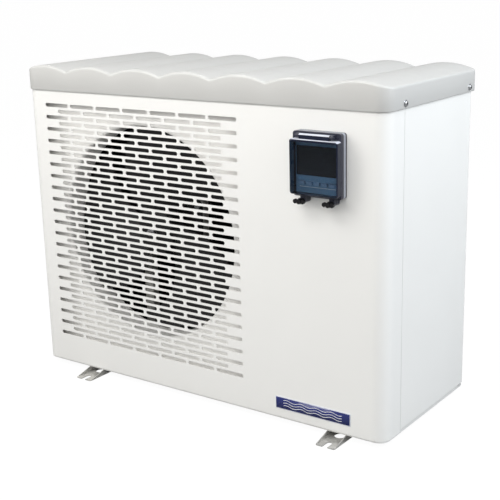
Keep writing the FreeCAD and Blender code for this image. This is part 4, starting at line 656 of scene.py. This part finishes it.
def add_ring(bm, ring, spots):
    """Joins a closed ring of vertices to a new ring at spots."""
    made = [bm.verts.new(spot) for spot in spots]
    count = len(ring)
    for i in range(count):
        j = (i + 1) % count
        bm.faces.new((ring[i], ring[j], made[j], made[i]))
    return made


# ---------------------------------------------------------------- screws


# radius and height in mm, from the seat up
WASHER = ((0, 0), (7.2, 0), (7.5, 0.3), (7.5, 0.9), (7.2, 1.2), (5.0, 1.2))
PAN_HEAD = ((6.0, 1.25), (6.0, 2.6), (5.7, 3.4), (5.0, 4.0), (3.8, 4.5), (2.6, 4.7), (0, 4.7))
SHANK = ((0, -9), (2.0, -9), (2.4, -8), (2.4, 0), (0, 0))
CROSS_ARM = ((-2.6, -0.55, 4.2), (2.6, 0.55, 4.78))
CROSS_TURN = 0.4
SHANK_LENGTH = 9 * MM


def in_metres(profile):
    return [(radius * MM, height * MM) for radius, height in profile]


def screw_heads():
    """Every casing screw: its washer, its head and a dark cross at the head's top, painted shade for its cross
    recess.
    """
    heads, crosses = bmesh.new(), bmesh.new()
    for spot, way in screw_seats():
        turn = Vector((0, 0, 1)).rotation_difference(way).to_matrix().to_4x4()
        matrix = Matrix.Translation(spot) @ turn
        lathe(heads, in_metres(WASHER + PAN_HEAD), 32, matrix)
        lathe(heads, in_metres(SHANK), 16, matrix)
        for quarter in (0, math.pi / 2):
            arm = block(crosses, *(Vector(corner) * MM for corner in CROSS_ARM))
            spun = matrix @ Matrix.Rotation(quarter + CROSS_TURN, 4, "Z")
            bmesh.ops.transform(crosses, matrix=spun, verts=arm)
    made = []
    for name, bm in (("screw_heads", heads), ("screw_cross_painted_shade", crosses)):
        made.append(smooth_by_angle(finish_bmesh(name, bm), 40))
    settle(made[0], "cabinet", "zinc", zinc, "casing_screws")
    # the dark cross is painted shade for the screw's cross recess, not a colour of the screw
    settle(made[1], "cabinet", "black_plastic", black_plastic)


def screw_seats():
    """Where the casing screws sit and which way they point, read from the CAD group of screws."""
    mesh = nodes["casing_screws"].data
    bm = bmesh.new()
    bm.from_mesh(mesh)
    bmesh.ops.remove_doubles(bm, verts=bm.verts, dist=1e-6)
    seats, seen = [], set()
    for vert in bm.verts:
        if vert in seen:
            continue
        group, stack = [], [vert]
        seen.add(vert)
        while stack:
            current = stack.pop()
            group.append(current.co)
            for edge in current.link_edges:
                other = edge.other_vert(current)
                if other not in seen:
                    seen.add(other)
                    stack.append(other)
        low = Vector([min(co[k] for co in group) for k in range(3)])
        high = Vector([max(co[k] for co in group) for k in range(3)])
        seats.append(seat_of(low, high))
    bm.free()
    return seats


def seat_of(low, high):
    """The seat and direction of one screw between two corners: its head end lies furthest from the centre."""
    centre, extent = (low + high) / 2, high - low
    if extent.x < extent.y:
        side = math.copysign(1, centre.x)
        inner = low.x if side > 0 else high.x
        return Vector((inner + side * SHANK_LENGTH, centre.y, centre.z)), Vector((side, 0, 0))
    return Vector((centre.x, low.y + SHANK_LENGTH, centre.z)), Vector((0, 1, 0))


# ---------------------------------------------------------------- evaporator


FIN_PITCH = 3.2 * MM
FIN_THICK = 0.35 * MM
BEND_RADIUS = 60 * MM
COIL_THICK = 38 * MM
FIN_STEP_DEGREES = 4.0
TUBE_RADIUS = 4.8 * MM
TUBE_PITCH = 25.4 * MM
TUBE_COUNT = 26


def fin(bm, start, end, low, high, across):
    """A thin upright plate from start to end in plan."""
    side = Vector(across).normalized() * FIN_THICK / 2
    plan = [start - side, end - side, end + side, start + side]
    bottom = [bm.verts.new((p.x, p.y, low)) for p in plan]
    top = [bm.verts.new((p.x, p.y, high)) for p in plan]
    for i in range(4):
        j = (i + 1) % 4
        bm.faces.new((bottom[i], bottom[j], top[j], top[i]))
    bm.faces.new(bottom[::-1])
    bm.faces.new(top)


def coil_fins():
    """Single fins along the rear, round the bend and down the left side."""
    low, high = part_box("evaporator_fins")

    def build(bm):
        x = high.x - FIN_PITCH
        while x > low.x + BEND_RADIUS:
            fin(bm, Vector((x, high.y - COIL_THICK, 0)), Vector((x, high.y, 0)), low.z, high.z, (1, 0, 0))
            x -= FIN_PITCH
        y = low.y + FIN_PITCH
        while y < high.y - BEND_RADIUS:
            fin(bm, Vector((low.x, y, 0)), Vector((low.x + COIL_THICK, y, 0)), low.z, high.z, (0, 1, 0))
            y += FIN_PITCH
        centre = Vector((low.x + BEND_RADIUS, high.y - BEND_RADIUS, 0))
        angle = 90.0
        while angle <= 180.0:
            way = Vector((math.cos(math.radians(angle)), math.sin(math.radians(angle)), 0))
            start = centre + way * (BEND_RADIUS - COIL_THICK)
            fin(bm, start, centre + way * BEND_RADIUS, low.z, high.z, (-way.y, way.x, 0))
            angle += FIN_STEP_DEGREES

    made = from_bmesh("coil_fins", build, smooth=False)
    return settle(made, "cabinet", "fin_aluminium", coated_fins_painted_shade(), "evaporator_fins")


def coil_tubes():
    """The tubes that run through the fins, round the same bend."""
    low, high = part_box("evaporator_fins")
    bends_low, bends_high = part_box("evaporator_bends")
    middle = (bends_low.z + bends_high.z) / 2
    centre = Vector((low.x + BEND_RADIUS, high.y - BEND_RADIUS, 0))
    bend = BEND_RADIUS - COIL_THICK / 2
    path = [Vector((high.x, centre.y + bend, 0))]
    path += [
        centre + Vector((math.cos(a), math.sin(a), 0)) * bend
        for a in (math.radians(90 + 90 * i / 8) for i in range(9))
    ]
    path.append(Vector((centre.x - bend, low.y, 0)))

    def build(bm):
        for i in range(TUBE_COUNT):
            level = middle + (i - (TUBE_COUNT - 1) / 2) * TUBE_PITCH
            tube_along(bm, [Vector((p.x, p.y, level)) for p in path], TUBE_RADIUS, 10)

    made = from_bmesh("coil_tubes", build)
    return settle(made, "cabinet", "copper", copper_tube)


def tube_along(bm, path, radius, sides):
    """A closed round tube along a level path."""
    rings = []
    for i, spot in enumerate(path):
        ahead = path[min(i + 1, len(path) - 1)] - path[max(i - 1, 0)]
        across = Vector((-ahead.y, ahead.x, 0)).normalized()
        up = Vector((0, 0, 1))
        ring = []
        for k in range(sides):
            turn = math.tau * k / sides
            ring.append(bm.verts.new(spot + (across * math.cos(turn) + up * math.sin(turn)) * radius))
        rings.append(ring)
    for first, second in zip(rings, rings[1:]):
        for k in range(sides):
            j = (k + 1) % sides
            bm.faces.new((first[k], first[j], second[j], second[k]))
    bm.faces.new(rings[0][::-1])
    bm.faces.new(rings[-1])


# ---------------------------------------------------------------- badge


BADGE_BORDER = 1.6 * MM
WAVE_REACH = 0.78
WAVE_SWELL = 2.0 * MM
WAVE_GAP = 6.4 * MM
WAVE_HALF = 0.7 * MM
WAVE_COUNT = 5
WAVE_STEPS = 72


def badge():
    """A navy plate with a pale border and three plain wave lines."""
    low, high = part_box("badge")
    centre = (low + high) / 2
    width, thick = high.x - low.x, high.y - low.y

    def plate(bm):
        block(bm, low, high)

    back = bevel(from_bmesh("badge_plate", plate, smooth=True), 0.35, 30)
    settle(back, "cabinet", "badge_navy", printed("badge_border", srgb(214, 218, 232)), "badge")

    inner = Vector((BADGE_BORDER, 0, BADGE_BORDER))

    def field(bm):
        start, end = low + inner, high - inner
        block(bm, (start.x, low.y - 0.02 * MM, start.z), (end.x, low.y + thick / 2, end.z))

    navy = from_bmesh("badge_field", field)
    settle(navy, "cabinet", "badge_navy", printed("badge_navy", srgb(34, 44, 112)))

    def waves(bm):
        for row in (1, 0, -1):
            points = []
            for i in range(WAVE_STEPS + 1):
                along = -WAVE_REACH / 2 + WAVE_REACH * i / WAVE_STEPS
                points.append((along * width, math.sin(along * math.tau * WAVE_COUNT) * WAVE_SWELL))
            front, rear = low.y - 0.04 * MM, low.y + thick / 3
            ribbon(bm, centre.x, centre.z + row * WAVE_GAP, points, WAVE_HALF, front, rear)

    lines = from_bmesh("badge_waves", waves)
    settle(lines, "cabinet", "badge_navy", printed("badge_white", srgb(236, 238, 244)))


def ribbon(bm, x, z, points, half, front, back):
    """A raised line through points, in the plane of the cabinet's front."""
    rows = []
    for along, level in points:
        row = [
            bm.verts.new((x + along, front, z + level - half)),
            bm.verts.new((x + along, front, z + level + half)),
            bm.verts.new((x + along, back, z + level + half)),
            bm.verts.new((x + along, back, z + level - half)),
        ]
        rows.append(row)
    for first, second in zip(rows, rows[1:]):
        for k in range(4):
            j = (k + 1) % 4
            bm.faces.new((first[k], first[j], second[j], second[k]))
    bm.faces.new(rows[0][::-1])
    bm.faces.new(rows[-1])


# ---------------------------------------------------------------- stage, lights and camera


CAMERA_AZIMUTH = 35.87
CAMERA_ELEVATION = 15.31
CAMERA_ROLL = -1.43
CAMERA_PLACE = (1.5102, -2.0560, 1.0357)
CAMERA_LENS = 75.1


# how white the camera sees the floor and the sky
FLOOR_WHITE = 0.8
CAMERA_WHITE = 1.2
SKY_STRENGTH = 0.48
SKY_COLOUR = (1.0, 1.0, 1.0, 1)
WARM = (1.0, 0.985, 0.955)
COOL = (0.90, 0.95, 1.0)
# place, target, width, height, watts, colour
SOFTBOXES = (
    ((-0.2, -1.3, 1.9), (-0.1, -0.1, 0.6), 1.8, 0.6, 20, WARM),
    ((-2.6, -2.4, 1.9), (-0.1, -0.1, 0.45), 2.0, 2.0, 36, WARM),
    ((0.9, -2.6, 1.7), (-0.2, -0.2, 0.5), 1.4, 1.0, 14, WARM),
    ((2.0, 0.1, 1.5), (0.5, 0.0, 0.6), 1.0, 1.0, 25, COOL),
    ((1.7, 0.3, 2.6), (0.5, 0.0, 0.6), 1.2, 1.0, 9, COOL),
)


def camera():
    data = bpy.data.cameras.new("camera")
    data.lens = CAMERA_LENS
    data.sensor_width = 36
    data.clip_start = 0.01
    made = bpy.data.objects.new("camera", data)
    bpy.context.scene.collection.objects.link(made)
    azimuth, elevation = math.radians(CAMERA_AZIMUTH), math.radians(CAMERA_ELEVATION)
    level = Matrix.Rotation(azimuth, 4, "Z") @ Matrix.Rotation(math.pi / 2 - elevation, 4, "X")
    roll = Matrix.Rotation(math.radians(CAMERA_ROLL), 4, "Z")
    made.matrix_world = Matrix.Translation(CAMERA_PLACE) @ level @ roll
    bpy.context.scene.camera = made
    return made


def softbox(name, place, target, wide, tall, watts, colour=(1, 1, 1)):
    data = bpy.data.lights.new(name, "AREA")
    data.shape = "RECTANGLE"
    data.size, data.size_y = wide, tall
    data.energy = watts
    data.color = colour
    made = bpy.data.objects.new(name, data)
    made.location = place
    made.rotation_euler = (Vector(target) - Vector(place)).to_track_quat("-Z", "Y").to_euler()
    bpy.context.scene.collection.objects.link(made)
    return made


def seen_white(tree, shader, light, share):
    """Shows a shader as plain white to the camera by that share, and leaves the light that it gives alone."""
    white = tree.nodes.new("ShaderNodeEmission" if light == "Surface" else "ShaderNodeBackground")
    path = tree.nodes.new("ShaderNodeLightPath")
    part = tree.nodes.new("ShaderNodeMath")
    part.operation = "MULTIPLY"
    part.inputs[1].default_value = share
    mix = tree.nodes.new("ShaderNodeMixShader")
    tree.links.new(path.outputs["Is Camera Ray"], part.inputs[0])
    tree.links.new(part.outputs[0], mix.inputs[0])
    tree.links.new(shader.outputs[0], mix.inputs[1])
    tree.links.new(white.outputs[0], mix.inputs[2])
    white.inputs["Color"].default_value = (1, 1, 1, 1)
    white.inputs["Strength"].default_value = CAMERA_WHITE
    output = next(n for n in tree.nodes if n.type in ("OUTPUT_MATERIAL", "OUTPUT_WORLD"))
    tree.links.new(mix.outputs[0], output.inputs["Surface"])


def stage():
    """A wide pale floor under a soft sky, and soft boxes above the front and the right side."""
    floor = from_bmesh("floor", lambda bm: bmesh.ops.create_grid(bm, x_segments=1, y_segments=1, size=30))
    floor.location.z = -0.0005
    pale = Recipe("floor_pale", srgb(150, 150, 150), 0.9)
    pale.mottle(0.004, 1.0)
    seen_white(pale.tree, pale.shader, "Surface", FLOOR_WHITE)
    floor.data.materials.append(pale.material)
    world = bpy.data.worlds.new("sky")
    world.use_nodes = True
    sky = world.node_tree.nodes["Background"]
    sky.inputs["Color"].default_value = SKY_COLOUR
    sky.inputs["Strength"].default_value = SKY_STRENGTH
    seen_white(world.node_tree, sky, "Sky", 1.0)
    bpy.context.scene.world = world
    for i, setting in enumerate(SOFTBOXES):
        softbox(f"softbox_{i}", *setting)
    bpy.context.scene.view_settings.view_transform = "Standard"


finish_cad_nodes()
finish_cover()
finish_keys()
lid()
screw_heads()
coil_fins()
coil_tubes()
badge()
stage()
camera()
